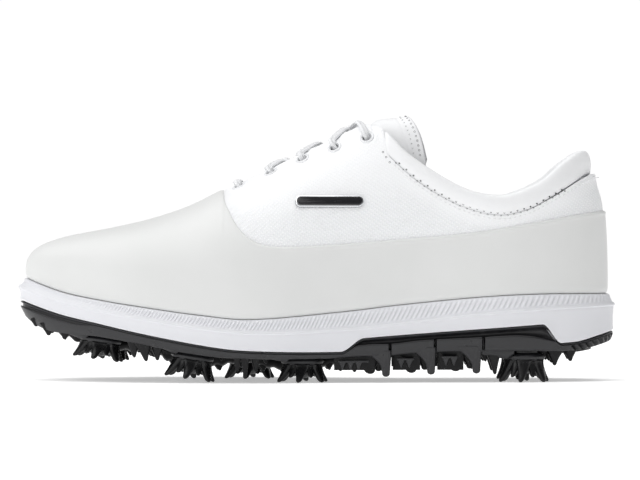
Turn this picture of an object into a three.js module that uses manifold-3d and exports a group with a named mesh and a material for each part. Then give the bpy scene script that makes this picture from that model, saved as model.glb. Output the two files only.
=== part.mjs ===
// A left golf shoe, laced, standing on its seven turn-in spikes.
// Millimetres, +Z up. +X runs to the heel and -Y to the lateral (outer) side.
// The origin is on the ground under the middle of the lip that runs round the sole.
import * as THREE from "three";
import { mergeVertices } from "three/addons/utils/BufferGeometryUtils.js";
import Module from "manifold-3d";

const wasm = await Module();
wasm.setup();

// ---- Driving dimensions -------------------------------------------------------------
const LENGTH = 300; // lip to lip, toe to heel
const BREADTH = 108; // lip to lip across the ball
const GAP = 0.3; // between neighbouring pieces that are glued or sewn together
const SKIN_GAP = 0.5; // between the layers of the upper

const FEATHER_INSET = 4.7; // from the lip in to the skin of the upper
const OVERLAY_WALL = 1.5; // moulded guard round the foot
const PANEL_WALL = 1.2; // vamp and quarter leather
const STIFFENER_WALL = 1.1; // toe puff and heel counter
const LINING_WALL = 1.1;
const COLLAR_PAD = 7; // thickest part of the padded collar
const TONGUE_PAD = 4.6;

const RAND_DEPTH = 8.5; // from the lip in to the rand's inner wall
const BOARD_WALL = 1.5; // lasting board
const SOCK_WALL = 4.4; // removable sock liner
const MIDSOLE_DRAFT = 1.6; // how far the sidewall leans in at its foot
const SHANK_WALL = 1.4;
const CUSHION_HEIGHT = 6;

const SPIKE_RADIUS = 11.5; // flange
const SPIKE_HEIGHT = 11.3; // from the plate to the tip of a leg
const SPIKE_LEGS = 6;
const STUD_RADIUS = 4;
const STUD_LENGTH = 4.6;
const SOCKET_RADIUS = 7.6;
const SOCKET_ROOF = 1;
const FIN_BREADTH = 13; // across the sole, for the midfoot fins

const EYELETS = 5; // in each row
const EYELET_PITCH = 16.1; // along X, on a shoe of REFERENCE_HALF
const EYELET_FIRST = -38.8; // X of the front pair, on the same shoe
const LACE_RADIUS = 1.35;
const EYELET_ROOM = 1.05; // between the lace and the bore
const EYELET_WALL = 0.4;
const EYELET_BORE = LACE_RADIUS + EYELET_ROOM; // radius
const EYELET_BARREL = EYELET_BORE + EYELET_WALL; // radius
const EYELET_FLANGE = EYELET_BARREL + 1; // radius
const EYELET_MARGIN = 8; // from the row to the edge of the throat

const BADGE_LENGTH = 34;
const BADGE_BREADTH = 5.4;
const BADGE_WALL = 1.2;

// ---- Curves -------------------------------------------------------------------------
const HALF = LENGTH / 2;
// Places along and across the shoe are written for one of this half length and breadth.
const REFERENCE_HALF = 150;
const REFERENCE_BREADTH = 108;
const station = (x) => (x / REFERENCE_HALF) * HALF;
const across = (y) => (y / REFERENCE_BREADTH) * BREADTH;
const clamp = THREE.MathUtils.clamp;
const lerp = THREE.MathUtils.lerp;
const smoothstep = THREE.MathUtils.smoothstep;

// A smooth curve through [place, value] pairs, level beyond its ends.
function curveThrough(points) {
  const slope = points.map((p, i) => {
    const before = points[Math.max(i - 1, 0)];
    const after = points[Math.min(i + 1, points.length - 1)];
    return (after[1] - before[1]) / (after[0] - before[0]);
  });
  return (place) => {
    if (place <= points[0][0]) return points[0][1];
    if (place >= points.at(-1)[0]) return points.at(-1)[1];
    const i = points.findIndex((p) => p[0] > place) - 1;
    const span = points[i + 1][0] - points[i][0];
    const a = (place - points[i][0]) / span;
    const b = 1 - a;
    return (
      points[i][1] * b * b * (1 + 2 * a) +
      points[i + 1][1] * a * a * (1 + 2 * b) +
      slope[i] * span * a * b * b -
      slope[i + 1] * span * a * a * b
    );
  };
}
// The same, with places given as shares of the half length, -1 at the toe and 1 at the heel.
function alongShoe(points) {
  const curve = curveThrough(points);
  return (x) => curve(x / HALF);
}
const smoothMax = (a, b, width) => b + width * Math.log1p(Math.exp((a - b) / width));
const smoothMin = (a, b, width) => -smoothMax(-a, -b, width);

// Heights over the ground of the lines that run round the shoe.
const featherHeight = alongShoe([
  [-1, 51.5], [-0.86, 44.7], [-0.72, 40.7], [-0.59, 37.8], [-0.39, 33.8], [-0.22, 31.7],
  [0.08, 35.2], [0.28, 38.7], [0.55, 42.6], [0.75, 44], [1, 44],
]);
const lipHeight = alongShoe([
  [-1, 47.2], [-0.86, 40.2], [-0.72, 35.7], [-0.59, 32.2], [-0.39, 27.6], [-0.2, 25],
  [0.08, 26.6], [0.28, 29.6], [0.55, 34.2], [0.75, 36.7], [1, 38.6],
]);
const flatBorder = alongShoe([
  [-1, 41.4], [-0.86, 33.7], [-0.72, 28.6], [-0.59, 23.7], [-0.39, 17.7], [-0.25, 15.1],
  [0.05, 14.6], [0.45, 16.5], [0.86, 20.2], [0.95, 23.6], [1, 26],
]);
const archLine = alongShoe([[0.1, 20.5], [0.3, 22.7], [0.78, 27.8]]);
const ARCH_FRONT = [0.08, 0.16]; // shares over which the midsole's underside rises
const ARCH_BACK = [0.74, 0.83]; // and falls again
function borderHeight(x) {
  const share = x / HALF;
  const raised = smoothstep(share, ...ARCH_FRONT) * (1 - smoothstep(share, ...ARCH_BACK));
  return lerp(flatBorder(x), archLine(x), raised);
}
const plateHeight = alongShoe([
  [-1, 37.5], [-0.955, 30.5], [-0.89, 26.6], [-0.8, 24.4], [-0.68, 21.8], [-0.5, 16.8],
  [-0.38, 13.8], [-0.25, 12], [-0.1, 11.8], [0.08, 11.8], [0.2, 13], [0.45, 14], [0.6, 11.9],
  [0.82, 11.9], [0.93, 14], [1, 18.4],
]);
const crownHeight = alongShoe([
  [-1, 67.5], [-0.875, 70.6], [-0.74, 74], [-0.63, 77.3], [-0.527, 81.3], [-0.42, 87],
  [-0.3, 96], [0, 118.5], [0.13, 128.5], [0.2, 133.5], [0.32, 139.4], [0.63, 162], [1, 163],
]);
const overlayLine = alongShoe([[-0.16, 67.5], [0.07, 68.6], [0.48, 74.2], [1, 85.5]]);
const stitchLine = alongShoe([
  [0.18, 128.5], [0.2, 121.5], [0.22, 116.5], [0.29, 106], [0.37, 96.8], [0.48, 88],
  [0.6, 83.4], [0.7, 85.9], [0.78, 91.8], [0.87, 99.4], [0.93, 103.9],
]);
const rimLine = alongShoe([
  [0.17, 129], [0.21, 127.6], [0.24, 125.3], [0.29, 117.7], [0.36, 109.8], [0.45, 101.4],
  [0.52, 96.8], [0.61, 94.5], [0.67, 96.4], [0.755, 102.3], [0.84, 111.1], [0.9, 116.1],
  [0.96, 118],
]);

// ---- Plan of the sole ---------------------------------------------------------------
// A place round the shoe is a turn from -1 to 1: 0 at the toe, 1 and -1 at the heel,
// below 0 on the lateral side.
const END_SQUARENESS = 0.82;
const centreLine = alongShoe([[-1, 6], [0, 0], [1, -1]]);
const lateralShape = alongShoe([
  [-1, 48], [-0.73, 58], [-0.47, 59], [-0.2, 56], [0.13, 45.5], [0.4, 43], [0.67, 48], [1, 50],
]);
const medialShape = alongShoe([
  [-1, 48], [-0.73, 57], [-0.5, 56.2], [-0.2, 49.6], [0.13, 38], [0.4, 37.5], [0.67, 48], [1, 50],
]);
const turnX = (turn) => -HALF * Math.cos(Math.PI * turn);
const turnAt = (x, side) => (side * Math.acos(clamp(-x / HALF, -1, 1))) / Math.PI;

function halfShape(turn) {
  const shape = turn < 0 ? lateralShape : medialShape;
  return shape(turnX(turn)) * Math.sin(Math.PI * Math.abs(turn)) ** END_SQUARENESS;
}
// The largest factor that keeps a side of the outline within half the breadth.
function sideScale(side) {
  let scale = Infinity;
  for (let i = 1; i < 400; i++) {
    const turn = (side * i) / 400;
    const room = BREADTH / 2 - side * centreLine(turnX(turn));
    scale = Math.min(scale, room / halfShape(turn));
  }
  return scale;
}
const lateralScale = sideScale(-1);
const medialScale = sideScale(1);

function lipPoint(turn) {
  const wrapped = turn > 1 ? turn - 2 : turn < -1 ? turn + 2 : turn;
  const scale = wrapped < 0 ? lateralScale : medialScale;
  const x = turnX(wrapped);
  const y = centreLine(x) + Math.sign(wrapped) * scale * halfShape(wrapped);
  return new THREE.Vector2(x, y);
}
function insetPoint(turn, inset) {
  const step = 0.004;
  const along = lipPoint(turn + step).sub(lipPoint(turn - step)).normalize();
  return lipPoint(turn).add(new THREE.Vector2(along.y, -along.x).multiplyScalar(inset));
}

// ---- The last: the skin of the upper ------------------------------------------------
// Sections rise from the feather to a spine. Round the toe and heel they fan out from it.
const TOE_POLE = -0.7 * HALF;
const HEEL_POLE = 0.62 * HALF;
const POLE_EASE = 12;
const spineOffset = alongShoe([[-1, 7], [-0.4, 3], [0, -1.5], [0.3, -3.5], [0.6, -2], [1, -1]]);
const fullness = alongShoe([[-1, 3.8], [-0.75, 2.9], [-0.4, 2.35], [0, 2.3], [0.3, 2.55], [1, 2.55]]);

function spinePoint(turn) {
  const eased = smoothMax(turnX(turn), TOE_POLE, POLE_EASE);
  const x = smoothMin(eased, HEEL_POLE, POLE_EASE);
  return new THREE.Vector2(x, spineOffset(x));
}
// rise runs from 0 at the feather to 1 at the spine. lift is how far outside the skin it is.
function lastPoint(turn, rise, lift = 0) {
  const foot = insetPoint(turn, FEATHER_INSET - lift);
  const spine = spinePoint(turn);
  const power = 2 / fullness(turnX(turn));
  const reach = rise >= 1 ? 0 : Math.cos((Math.PI / 2) * rise) ** power;
  const height = Math.sin((Math.PI / 2) * Math.min(rise, 1)) ** power;
  const plan = spine.lerp(foot, reach);
  const base = featherHeight(turnX(turn));
  return new THREE.Vector3(plan.x, plan.y, base + (crownHeight(plan.x) + lift - base) * height);
}
// The rise at which a section meets a height line.
function riseAtLine(turn, line, lift = 0) {
  let low = 0;
  let high = 1;
  for (let i = 0; i < 30; i++) {
    const middle = (low + high) / 2;
    const point = lastPoint(turn, middle, lift);
    if (point.z < line(point.x)) low = middle;
    else high = middle;
  }
  return high > 1 - 1e-6 ? 1 : high;
}
// The rise at which a section is a given distance from the spine, in plan.
function riseAtSpread(turn, spread, lift = 0) {
  const foot = insetPoint(turn, FEATHER_INSET - lift);
  const reach = clamp(spread / foot.distanceTo(spinePoint(turn)), 0, 1);
  return (2 / Math.PI) * Math.acos(reach ** (fullness(turnX(turn)) / 2));
}
function pointAtSpread(x, side, spread, lift) {
  const turn = turnAt(x, side);
  return lastPoint(turn, riseAtSpread(turn, spread, lift), lift);
}
const eyeletX = (index) => station(EYELET_FIRST + index * EYELET_PITCH);
const eyeletSpread = curveThrough([[eyeletX(0), 14], [eyeletX(EYELETS - 1), 18]]);
const throatSpread = (x) => eyeletSpread(x) - EYELET_MARGIN;
const VAMP_END = eyeletX(0) - 11.4; // where vamp and quarters meet, under the overlay
const THROAT_START = eyeletX(0) - 6.2; // where the overlay's edge crosses the spine
const OVERLAY_SWEEP = 21; // length of the curve that the overlay's edge comes down in

// ---- Solids -------------------------------------------------------------------------
function geometryFrom(vertices, triangles) {
  const geometry = new THREE.BufferGeometry();
  geometry.setAttribute("position", new THREE.Float32BufferAttribute(vertices.flatMap((v) => v.toArray()), 3));
  geometry.setIndex(triangles.flat());
  return mergeVertices(geometry, 1e-4);
}
function signedVolume(vertices, triangles) {
  const cross = new THREE.Vector3();
  return triangles.reduce((sum, [a, b, c]) => {
    return sum + vertices[a].dot(cross.crossVectors(vertices[b], vertices[c]));
  }, 0);
}
// Triangles across a loop, in pairs from its start to its middle. A lone start has no pair.
function stripAcross(size, lone) {
  const triangles = lone ? [[0, 1, size - 1]] : [];
  let near = lone ? 1 : 0;
  let far = size - 1;
  while (near + 1 < far - 1) {
    triangles.push([near, near + 1, far - 1], [near, far - 1, far]);
    near += 1;
    far -= 1;
  }
  if (near + 1 === far - 1) triangles.push([near, near + 1, far]);
  return triangles;
}
// A closed body from a grid of rings: rings[i] is a closed loop, and caps end the run.
function ringBody(rings, closed = false) {
  const vertices = rings.flat();
  const triangles = [];
  const size = rings[0].length;
  const at = (ring, k) => (ring % rings.length) * size + (k % size);
  const last = closed ? rings.length : rings.length - 1;
  for (let i = 0; i < last; i++) {
    for (let k = 0; k < size; k++) {
      triangles.push([at(i, k), at(i + 1, k), at(i + 1, k + 1)], [at(i, k), at(i + 1, k + 1), at(i, k + 1)]);
    }
  }
  if (!closed) {
    for (const [a, b, c] of stripAcross(size, false)) {
      triangles.push([at(0, a), at(0, b), at(0, c)], [at(last, a), at(last, c), at(last, b)]);
    }
  }
  if (signedVolume(vertices, triangles) < 0) triangles.forEach((t) => t.reverse());
  return geometryFrom(vertices, triangles);
}
// A wall over the whole last: columns run from the feather to the spine, where the columns
// of the two sides meet.
function wallBody(outer, inner) {
  const columns = outer.length;
  const rows = outer[0].length;
  const vertices = [...outer.flat(), ...inner.flat()];
  const triangles = [];
  const at = (side, column, row) => (side * columns + (column % columns)) * rows + row;
  const quad = (a, b, c, d) => triangles.push([a, b, c], [a, c, d]);
  for (let j = 0; j < columns; j++) {
    for (let i = 0; i < rows - 1; i++) {
      quad(at(0, j, i), at(0, j + 1, i), at(0, j + 1, i + 1), at(0, j, i + 1));
      quad(at(1, j, i), at(1, j, i + 1), at(1, j + 1, i + 1), at(1, j + 1, i));
    }
    quad(at(0, j, 0), at(1, j, 0), at(1, j + 1, 0), at(0, j + 1, 0));
  }
  if (signedVolume(vertices, triangles) < 0) triangles.forEach((t) => t.reverse());
  return geometryFrom(vertices, triangles);
}
function solidOf(geometry, matrix = new THREE.Matrix4()) {
  const bare = new THREE.BufferGeometry();
  bare.setAttribute("position", geometry.getAttribute("position").clone());
  if (geometry.index) bare.setIndex(geometry.index.clone());
  bare.applyMatrix4(matrix);
  const merged = mergeVertices(bare, 1e-4);
  return new wasm.Manifold(
    new wasm.Mesh({
      numProp: 3,
      vertProperties: new Float32Array(merged.attributes.position.array),
      triVerts: new Uint32Array(merged.index.array),
    }),
  );
}
function geometryOf(solid) {
  const mesh = solid.getMesh();
  const geometry = new THREE.BufferGeometry();
  const points = new Float32Array(mesh.numVert * 3);
  for (let i = 0; i < mesh.numVert; i++) {
    points.set(mesh.vertProperties.subarray(i * mesh.numProp, i * mesh.numProp + 3), i * 3);
  }
  geometry.setAttribute("position", new THREE.BufferAttribute(points, 3));
  geometry.setIndex(new THREE.BufferAttribute(mesh.triVerts, 1));
  return geometry;
}
// The placing of something that stands on a point with its own +Z along a direction.
function standing(point, direction) {
  const turn = new THREE.Quaternion().setFromUnitVectors(new THREE.Vector3(0, 0, 1), direction);
  return new THREE.Matrix4().compose(point, turn, new THREE.Vector3(1, 1, 1));
}
function upright(geometry) {
  return geometry.rotateX(Math.PI / 2);
}
function cylinder(topRadius, footRadius, from, to, sides) {
  const shape = new THREE.CylinderGeometry(topRadius, footRadius, to - from, sides);
  return upright(shape).translate(0, 0, (from + to) / 2);
}
function lathe(profile, sides) {
  return upright(new THREE.LatheGeometry(profile.map(([r, z]) => new THREE.Vector2(r, z)), sides));
}

// ---- Materials ----------------------------------------------------------------------
const finish = (color, roughness, metalness = 0) => {
  return new THREE.MeshStandardMaterial({ color, roughness, metalness });
};
const guardWhite = finish(0xe6e8e6, 0.45);
const leatherWhite = finish(0xeeeff1, 0.6);
const textileWhite = finish(0xdadbdd, 0.9);
const foamWhite = finish(0xe3e4e9, 0.55);
const rubberBlack = finish(0x0e0e0f, 0.25);
const spikeBlack = finish(0x161617, 0.3);
const boardGrey = finish(0xb9b4a8, 0.8);
const stiffenerGrey = finish(0x8f9094, 0.7);
const cushionClear = finish(0xc8d2d8, 0.2);
const chrome = finish(0xb8babd, 0.2, 1);
const shankBlack = finish(0x232427, 0.35);

const shoe = new THREE.Group();
function add(name, geometry, material, matrix) {
  const mesh = new THREE.Mesh(geometry, material);
  mesh.name = name;
  if (matrix) mesh.applyMatrix4(matrix);
  shoe.add(mesh);
}

// ---- Columns round the shoe ---------------------------------------------------------
const COLUMN_STEP = 1 / 20;
const stations = [VAMP_END, THROAT_START + 1.5, station(-28), 0.18 * HALF, 0.27 * HALF];
// Turns between two places, the same on both sides, and denser where the stations say.
function turnsBetween(from, to) {
  const half = [from, to, ...stations.map((x) => turnAt(x, 1))].map(Math.abs);
  for (let k = 0; k * COLUMN_STEP <= 1; k++) half.push(k * COLUMN_STEP);
  const sorted = half.sort((a, b) => a - b);
  const spaced = sorted.filter((turn, i) => i === 0 || turn - sorted[i - 1] > COLUMN_STEP / 8);
  const both = [...spaced.map((turn) => -turn).reverse(), ...spaced.slice(1)];
  const within = both.filter((turn) => turn > from + COLUMN_STEP / 8 && turn < to - COLUMN_STEP / 8);
  return [from, ...within, to];
}
// Every layer of the upper is a wall on this one grid, so neighbours stay clear of each other.
const skinTurns = turnsBetween(-1, 1).slice(0, -1);
const SKIN_RISES = [0, 0.13, 0.28, 0.43, 0.57, 0.7, 0.84, 1];
function skin(outerLift, wall) {
  const columns = (lift) => skinTurns.map((turn) => SKIN_RISES.map((rise) => lastPoint(turn, rise, lift)));
  return solidOf(wallBody(columns(outerLift), columns(outerLift - wall)));
}
// A cutter seen from the side: an outline in X and Z that runs right across the shoe.
function sideCutter(outline) {
  const shape = new THREE.Shape(outline.map(([x, z]) => new THREE.Vector2(x, z)));
  const solid = new THREE.ExtrudeGeometry(shape, { depth: 2 * BREADTH, bevelEnabled: false });
  return solidOf(upright(solid).translate(0, BREADTH, 0));
}
// A cutter seen from above: an outline in X and Y that runs right up the shoe.
function planCutter(outline) {
  const shape = new THREE.Shape(outline.map(([x, y]) => new THREE.Vector2(x, y)));
  return solidOf(new THREE.ExtrudeGeometry(shape, { depth: ABOVE, bevelEnabled: false }));
}
const ABOVE = 200;
const BEYOND = HALF + 10;
function sampled(from, to, count, place) {
  return Array.from({ length: count + 1 }, (_, i) => place(lerp(from, to, i / count)));
}

// ---- Moulded overlay ----------------------------------------------------------------
// Covers the toe and vamp, and runs back along both sides and round the heel.
function overlay() {
  const sweep = sampled(0, 1, 8, (share) => {
    const back = 1 - Math.cos((Math.PI / 2) * share);
    const x = THROAT_START + OVERLAY_SWEEP * back;
    const drop = Math.sin((Math.PI / 2) * share);
    return [x, lerp(crownHeight(x) + 4, overlayLine(x), drop)];
  });
  const edge = sampled(THROAT_START + OVERLAY_SWEEP + 15, BEYOND, 9, (x) => [x, overlayLine(x)]);
  const outline = [[-BEYOND, 0], [-BEYOND, ABOVE], [THROAT_START, ABOVE], ...sweep, ...edge, [BEYOND, 0]];
  return geometryOf(skin(SKIN_GAP + OVERLAY_WALL, OVERLAY_WALL).intersect(sideCutter(outline)));
}
add("overlay_guard", overlay(), guardWhite);

// ---- Vamp and quarters --------------------------------------------------------------
function vamp() {
  const end = VAMP_END - GAP / 2;
  const outline = [[-BEYOND, 0], [-BEYOND, ABOVE], [end, ABOVE], [end, 0]];
  return geometryOf(skin(0, PANEL_WALL).intersect(sideCutter(outline)));
}
add("vamp", vamp(), leatherWhite);

// The side outline of the quarters: eyestay, its top end, and the seam under the collar.
const COLLAR_FRONT = station(33.2);
const SEAM_STEPS = 14;
function quarterOutline(front, clearance) {
  const rim = [[EYESTAY_END, ABOVE], [EYESTAY_END + 0.5, rimLine(EYESTAY_END) - clearance]];
  const corner = [[COLLAR_FRONT - clearance, rimLine(COLLAR_FRONT) - clearance]];
  const seam = sampled(COLLAR_FRONT, BEYOND, SEAM_STEPS, (x) => [x - clearance, stitchLine(x) - clearance]);
  return [[front, 0], [front, ABOVE], ...rim, ...corner, ...seam, [BEYOND, 0]];
}
const EYESTAY_END = station(19.5);
function throatCutter(clearance) {
  const from = THROAT_START + 1.5 - clearance;
  const edge = (side) => sampled(from, station(60), 6, (x) => [x, spineOffset(x) + side * (throatSpread(x) + clearance)]);
  return planCutter([...edge(-1), ...edge(1).reverse()]);
}
function sideHalf(side) {
  const edge = sampled(-BEYOND, BEYOND, 12, (x) => [x, spineOffset(x) + (side * GAP) / 2]);
  const outline = [...edge, [BEYOND, side * BREADTH], [-BEYOND, side * BREADTH]];
  return planCutter(side < 0 ? outline.reverse() : outline);
}
function eyeletPlacing(index, side) {
  const x = eyeletX(index);
  const spread = eyeletSpread(x);
  const point = pointAtSpread(x, side, spread, 0);
  const back = pointAtSpread(x + 1, side, spread, 0).sub(point).normalize();
  const inward = pointAtSpread(x, side, spread - 1, 0).sub(point).normalize();
  const normal = new THREE.Vector3().crossVectors(inward, back).multiplyScalar(side).normalize();
  inward.crossVectors(back, normal).multiplyScalar(side);
  return new THREE.Matrix4().makeBasis(inward, inward.clone().cross(normal).negate(), normal).setPosition(point);
}
function punched(solid, side) {
  const radius = EYELET_BARREL + GAP;
  for (let i = 0; i < EYELETS; i++) {
    solid = solid.subtract(solidOf(cylinder(radius, radius, -9, 6, 8), eyeletPlacing(i, side)));
  }
  return solid;
}
function quarter(side) {
  const whole = skin(0, PANEL_WALL).intersect(sideCutter(quarterOutline(VAMP_END + GAP / 2, 0)));
  return geometryOf(punched(whole.subtract(throatCutter(0)).intersect(sideHalf(side)), side));
}
add("quarter_lateral", quarter(-1), leatherWhite);
add("quarter_medial", quarter(1), leatherWhite);

// ---- Stiffeners and lining ----------------------------------------------------------
const stiffenerLift = -PANEL_WALL - SKIN_GAP;
const liningLift = stiffenerLift - STIFFENER_WALL - SKIN_GAP;
const liningInside = liningLift - LINING_WALL;
const PUFF_REACH = [-0.66, -0.54]; // shares of the half length, at the spine and the feather
const COUNTER_REACH = [0.72, 0.46]; // and the counter's, at its top and the feather

function toePuff() {
  const [top, foot] = PUFF_REACH.map((share) => share * HALF);
  const outline = [[-BEYOND, 0], [-BEYOND, ABOVE], [top, ABOVE], [top, 72], [foot, 38], [foot, 0]];
  return geometryOf(skin(stiffenerLift, STIFFENER_WALL).intersect(sideCutter(outline)));
}
add("toe_puff", toePuff(), stiffenerGrey);

function heelCounter() {
  const [top, foot] = COUNTER_REACH.map((share) => share * HALF);
  const outline = [[foot, 0], [foot, 52], [top, 80], [BEYOND, 90], [BEYOND, 0]];
  return geometryOf(skin(stiffenerLift, STIFFENER_WALL).intersect(sideCutter(outline)));
}
add("heel_counter", heelCounter(), stiffenerGrey);

function lining() {
  const whole = skin(liningLift, LINING_WALL).intersect(sideCutter(quarterOutline(-BEYOND, 0.4)));
  return geometryOf(punched(punched(whole.subtract(throatCutter(0.4)), -1), 1));
}
add("lining", lining(), textileWhite);

// ---- Padded collar ------------------------------------------------------------------
// Runs from the top of one row of eyelets round the heel to the other.
const COLLAR_PROUD = 0.9;
const collarDepth = curveThrough([[COLLAR_FRONT, -liningInside], [0.5 * HALF, COLLAR_PAD], [HALF, COLLAR_PAD]]);
function collar() {
  const front = turnAt(COLLAR_FRONT + GAP, 1);
  const side = turnsBetween(front, 1);
  const turns = [...side, ...side.slice(0, -1).reverse().map((turn) => 2 - turn)];
  const rings = turns.map((place) => {
    const turn = place > 1 ? place - 2 : place;
    const low = riseAtLine(turn, (x) => stitchLine(x) - 3);
    const high = riseAtLine(turn, rimLine);
    const depth = -collarDepth(turnX(turn));
    const corners = [
      [0, -PANEL_WALL / 2], [0.25, COLLAR_PROUD * 0.8], [0.6, COLLAR_PROUD], [0.85, COLLAR_PROUD * 0.2],
      [0.98, depth * 0.3], [0.98, depth * 0.65], [0.8, depth * 0.93], [0.45, depth], [0.08, depth * 0.9],
    ];
    return corners.map(([up, lift]) => lastPoint(turn, lerp(low, high, up), lift));
  });
  const seam = sampled(COLLAR_FRONT + GAP, BEYOND, SEAM_STEPS, (x) => [x, stitchLine(x) + GAP]);
  const outline = [...seam, [BEYOND, ABOVE], [COLLAR_FRONT + GAP, ABOVE]];
  return geometryOf(solidOf(ringBody(rings)).intersect(sideCutter(outline)));
}
add("collar", collar(), leatherWhite);

// ---- Tongue -------------------------------------------------------------------------
// A padded flap under the throat, sewn under the vamp. Its free top, above the last
// eyelets, folds forward.
const tongueSpread = curveThrough([[VAMP_END, 17], [eyeletX(EYELETS - 1), 19], [0.35 * HALF, 14]]);
const TONGUE_FRONT = VAMP_END - 10;
const TONGUE_FOLD = eyeletX(EYELETS - 1) + 5.6;
const TONGUE_TOP = 0.315 * HALF;
const TONGUE_SWEEP = 7.5; // how far back the corners of the top edge lie
const WING_DROP = 2.2; // how much deeper the tongue lies at its edges
const tongueSewn = liningInside - 0.4;
const tongueFree = liningInside - 1.3 * (2 * LACE_RADIUS + 2 * GAP);

function tonguePoint(x, across, depth) {
  const side = across < 0 ? -1 : 1;
  const share = Math.abs(across);
  const station = x + TONGUE_SWEEP * share ** 2 * smoothstep(x, TONGUE_FRONT, TONGUE_TOP);
  const free = smoothstep(x, VAMP_END - 5, eyeletX(0) - 3);
  const lift = lerp(tongueSewn, tongueFree - WING_DROP * share ** 2, free) - depth;
  return pointAtSpread(station, side, tongueSpread(x) * share, lift);
}
function tonguePiece(from, to, stations) {
  const rings = [];
  const around = 5;
  for (let i = 0; i <= stations; i++) {
    const x = lerp(from, to, i / stations);
    const over = [];
    const under = [];
    for (let k = -around; k <= around; k++) {
      const across = k / around;
      const pad = TONGUE_PAD * (1 - 0.55 * across ** 4);
      over.push(tonguePoint(x, across, 0));
      under.push(tonguePoint(x, across, pad));
    }
    rings.push([...over, ...under.reverse()]);
  }
  return ringBody(rings);
}
add("tongue_body", tonguePiece(TONGUE_FRONT, TONGUE_FOLD, 9), textileWhite);
add("tongue_top", tonguePiece(TONGUE_FOLD + GAP, TONGUE_TOP, 3), textileWhite);

// ---- Eyelets ------------------------------------------------------------------------
const eyeletFoot = liningInside - GAP;
function eyelet() {
  const foot = eyeletFoot;
  return lathe(
    [
      [EYELET_BORE, foot], [EYELET_BARREL, foot], [EYELET_BARREL, GAP], [EYELET_FLANGE, GAP],
      [EYELET_FLANGE - 0.4, GAP + 0.7], [EYELET_BORE + 0.3, GAP + 0.8], [EYELET_BORE, GAP + 0.4],
      [EYELET_BORE, foot],
    ],
    8,
  );
}
for (const [side, word] of [[-1, "lateral"], [1, "medial"]]) {
  for (let i = 0; i < EYELETS; i++) {
    add(`eyelet_${word}_${i + 1}`, eyelet(), leatherWhite, eyeletPlacing(i, side));
  }
}

// ---- Lace ---------------------------------------------------------------------------
// One lace. Its middle lies across the front pair of eyelets, and its ends cross up to the
// top pair, go in through them and lie forward on the sock liner.
const laceOver = GAP + 0.8 + LACE_RADIUS + 0.3; // centre line over an eyelet
const laceUnder = liningInside - 1.3 * (GAP + LACE_RADIUS);
const tailBase = (x) => {
  const floor = Math.max(featherHeight(x - 8), featherHeight(x + 6));
  return floor + GAP + SOCK_WALL + LACE_RADIUS + 0.2;
};
// A place on the inside of the upper, at a given height.
function wallPoint(x, side, height, lift) {
  const turn = turnAt(x, side);
  return lastPoint(turn, riseAtLine(turn, () => height, lift), lift);
}
// The points of one half, from the middle of the front bar to its end.
function laceHalf(firstSide, upper) {
  const spot = (x, side, spread, lift) => pointAtSpread(x, side, spread, lift);
  const points = [spot(eyeletX(0), firstSide, 0.01, laceOver - 0.6)];
  points.push(spot(eyeletX(0), firstSide, throatSpread(eyeletX(0)), laceOver - 0.2));
  // Through an eyelet from outside, in the eyelet's own frame: inward to the throat, and up.
  const through = (index, side, path) => {
    return path.map(([inward, up]) => new THREE.Vector3(inward, 0, up).applyMatrix4(eyeletPlacing(index, side)));
  };
  const thick = LACE_RADIUS;
  const down = [[3.8, thick + 1.4], [2.3, thick + 1.25], [1.2, thick + 0.65], [0.75, 0.8], [0.45, -1.8]];
  const foot = eyeletFoot;
  const hook = [[0.75, foot + 0.7], [1.3, foot - 0.8], [2.5, foot - 1.7]];
  const leave = [[0.2, foot + 0.3], [-0.6, foot - 1.3]];
  let side = firstSide;
  points.push(...through(0, side, [...down, ...hook]));
  for (let index = 1; index < EYELETS; index++) {
    const from = eyeletX(index - 1);
    const at = (share) => from + share * station(EYELET_PITCH);
    const edge = throatSpread(from);
    const first = index === 1;
    const last = index === EYELETS - 1;
    const bow = upper ? 2.1 : -0.9;
    if (first) {
      points.push(spot(at(0.25), side, edge, laceUnder));
      points.push(spot(at(0.5), side, 0.01, upper ? laceUnder + 3.3 : laceUnder));
    } else {
      points.push(spot(at(0.3), side, edge * 0.6, laceOver - 0.6));
      points.push(spot(at(0.5), side, 0.01, bow));
    }
    side = -side;
    if (last) {
      points.push(spot(at(0.7), side, edge * 0.6, laceOver - 0.6));
      points.push(...through(index, side, [...down, ...leave]));
    } else {
      points.push(spot(at(0.75), side, edge, laceUnder));
      points.push(...through(index, side, [...down, ...hook]).reverse());
    }
  }
  // The end comes down between the tongue and the wall and lies forward on the sock liner.
  const top = eyeletX(EYELETS - 1);
  points.push(wallPoint(top + 7, side, 106, laceUnder - 0.3), wallPoint(top + 14, side, 92, laceUnder - 0.5));
  points.push(wallPoint(top + 17, side, 76, laceUnder - 1), wallPoint(top + 16, side, 60, laceUnder - 2));
  const rest = side * 13;
  points.push(new THREE.Vector3(top + 11, side * 19, tailBase(top + 11) + 3));
  points.push(new THREE.Vector3(top + 2, rest, tailBase(top + 2)));
  for (let x = top - 20; x > TAIL_END + 10; x -= 22) points.push(new THREE.Vector3(x, rest, tailBase(x)));
  points.push(new THREE.Vector3(TAIL_END, rest, tailBase(TAIL_END)));
  return points;
}
const TAIL_END = -0.62 * HALF;
const AGLET_LENGTH = 14;
const AGLET_WALL = 0.35;

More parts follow.
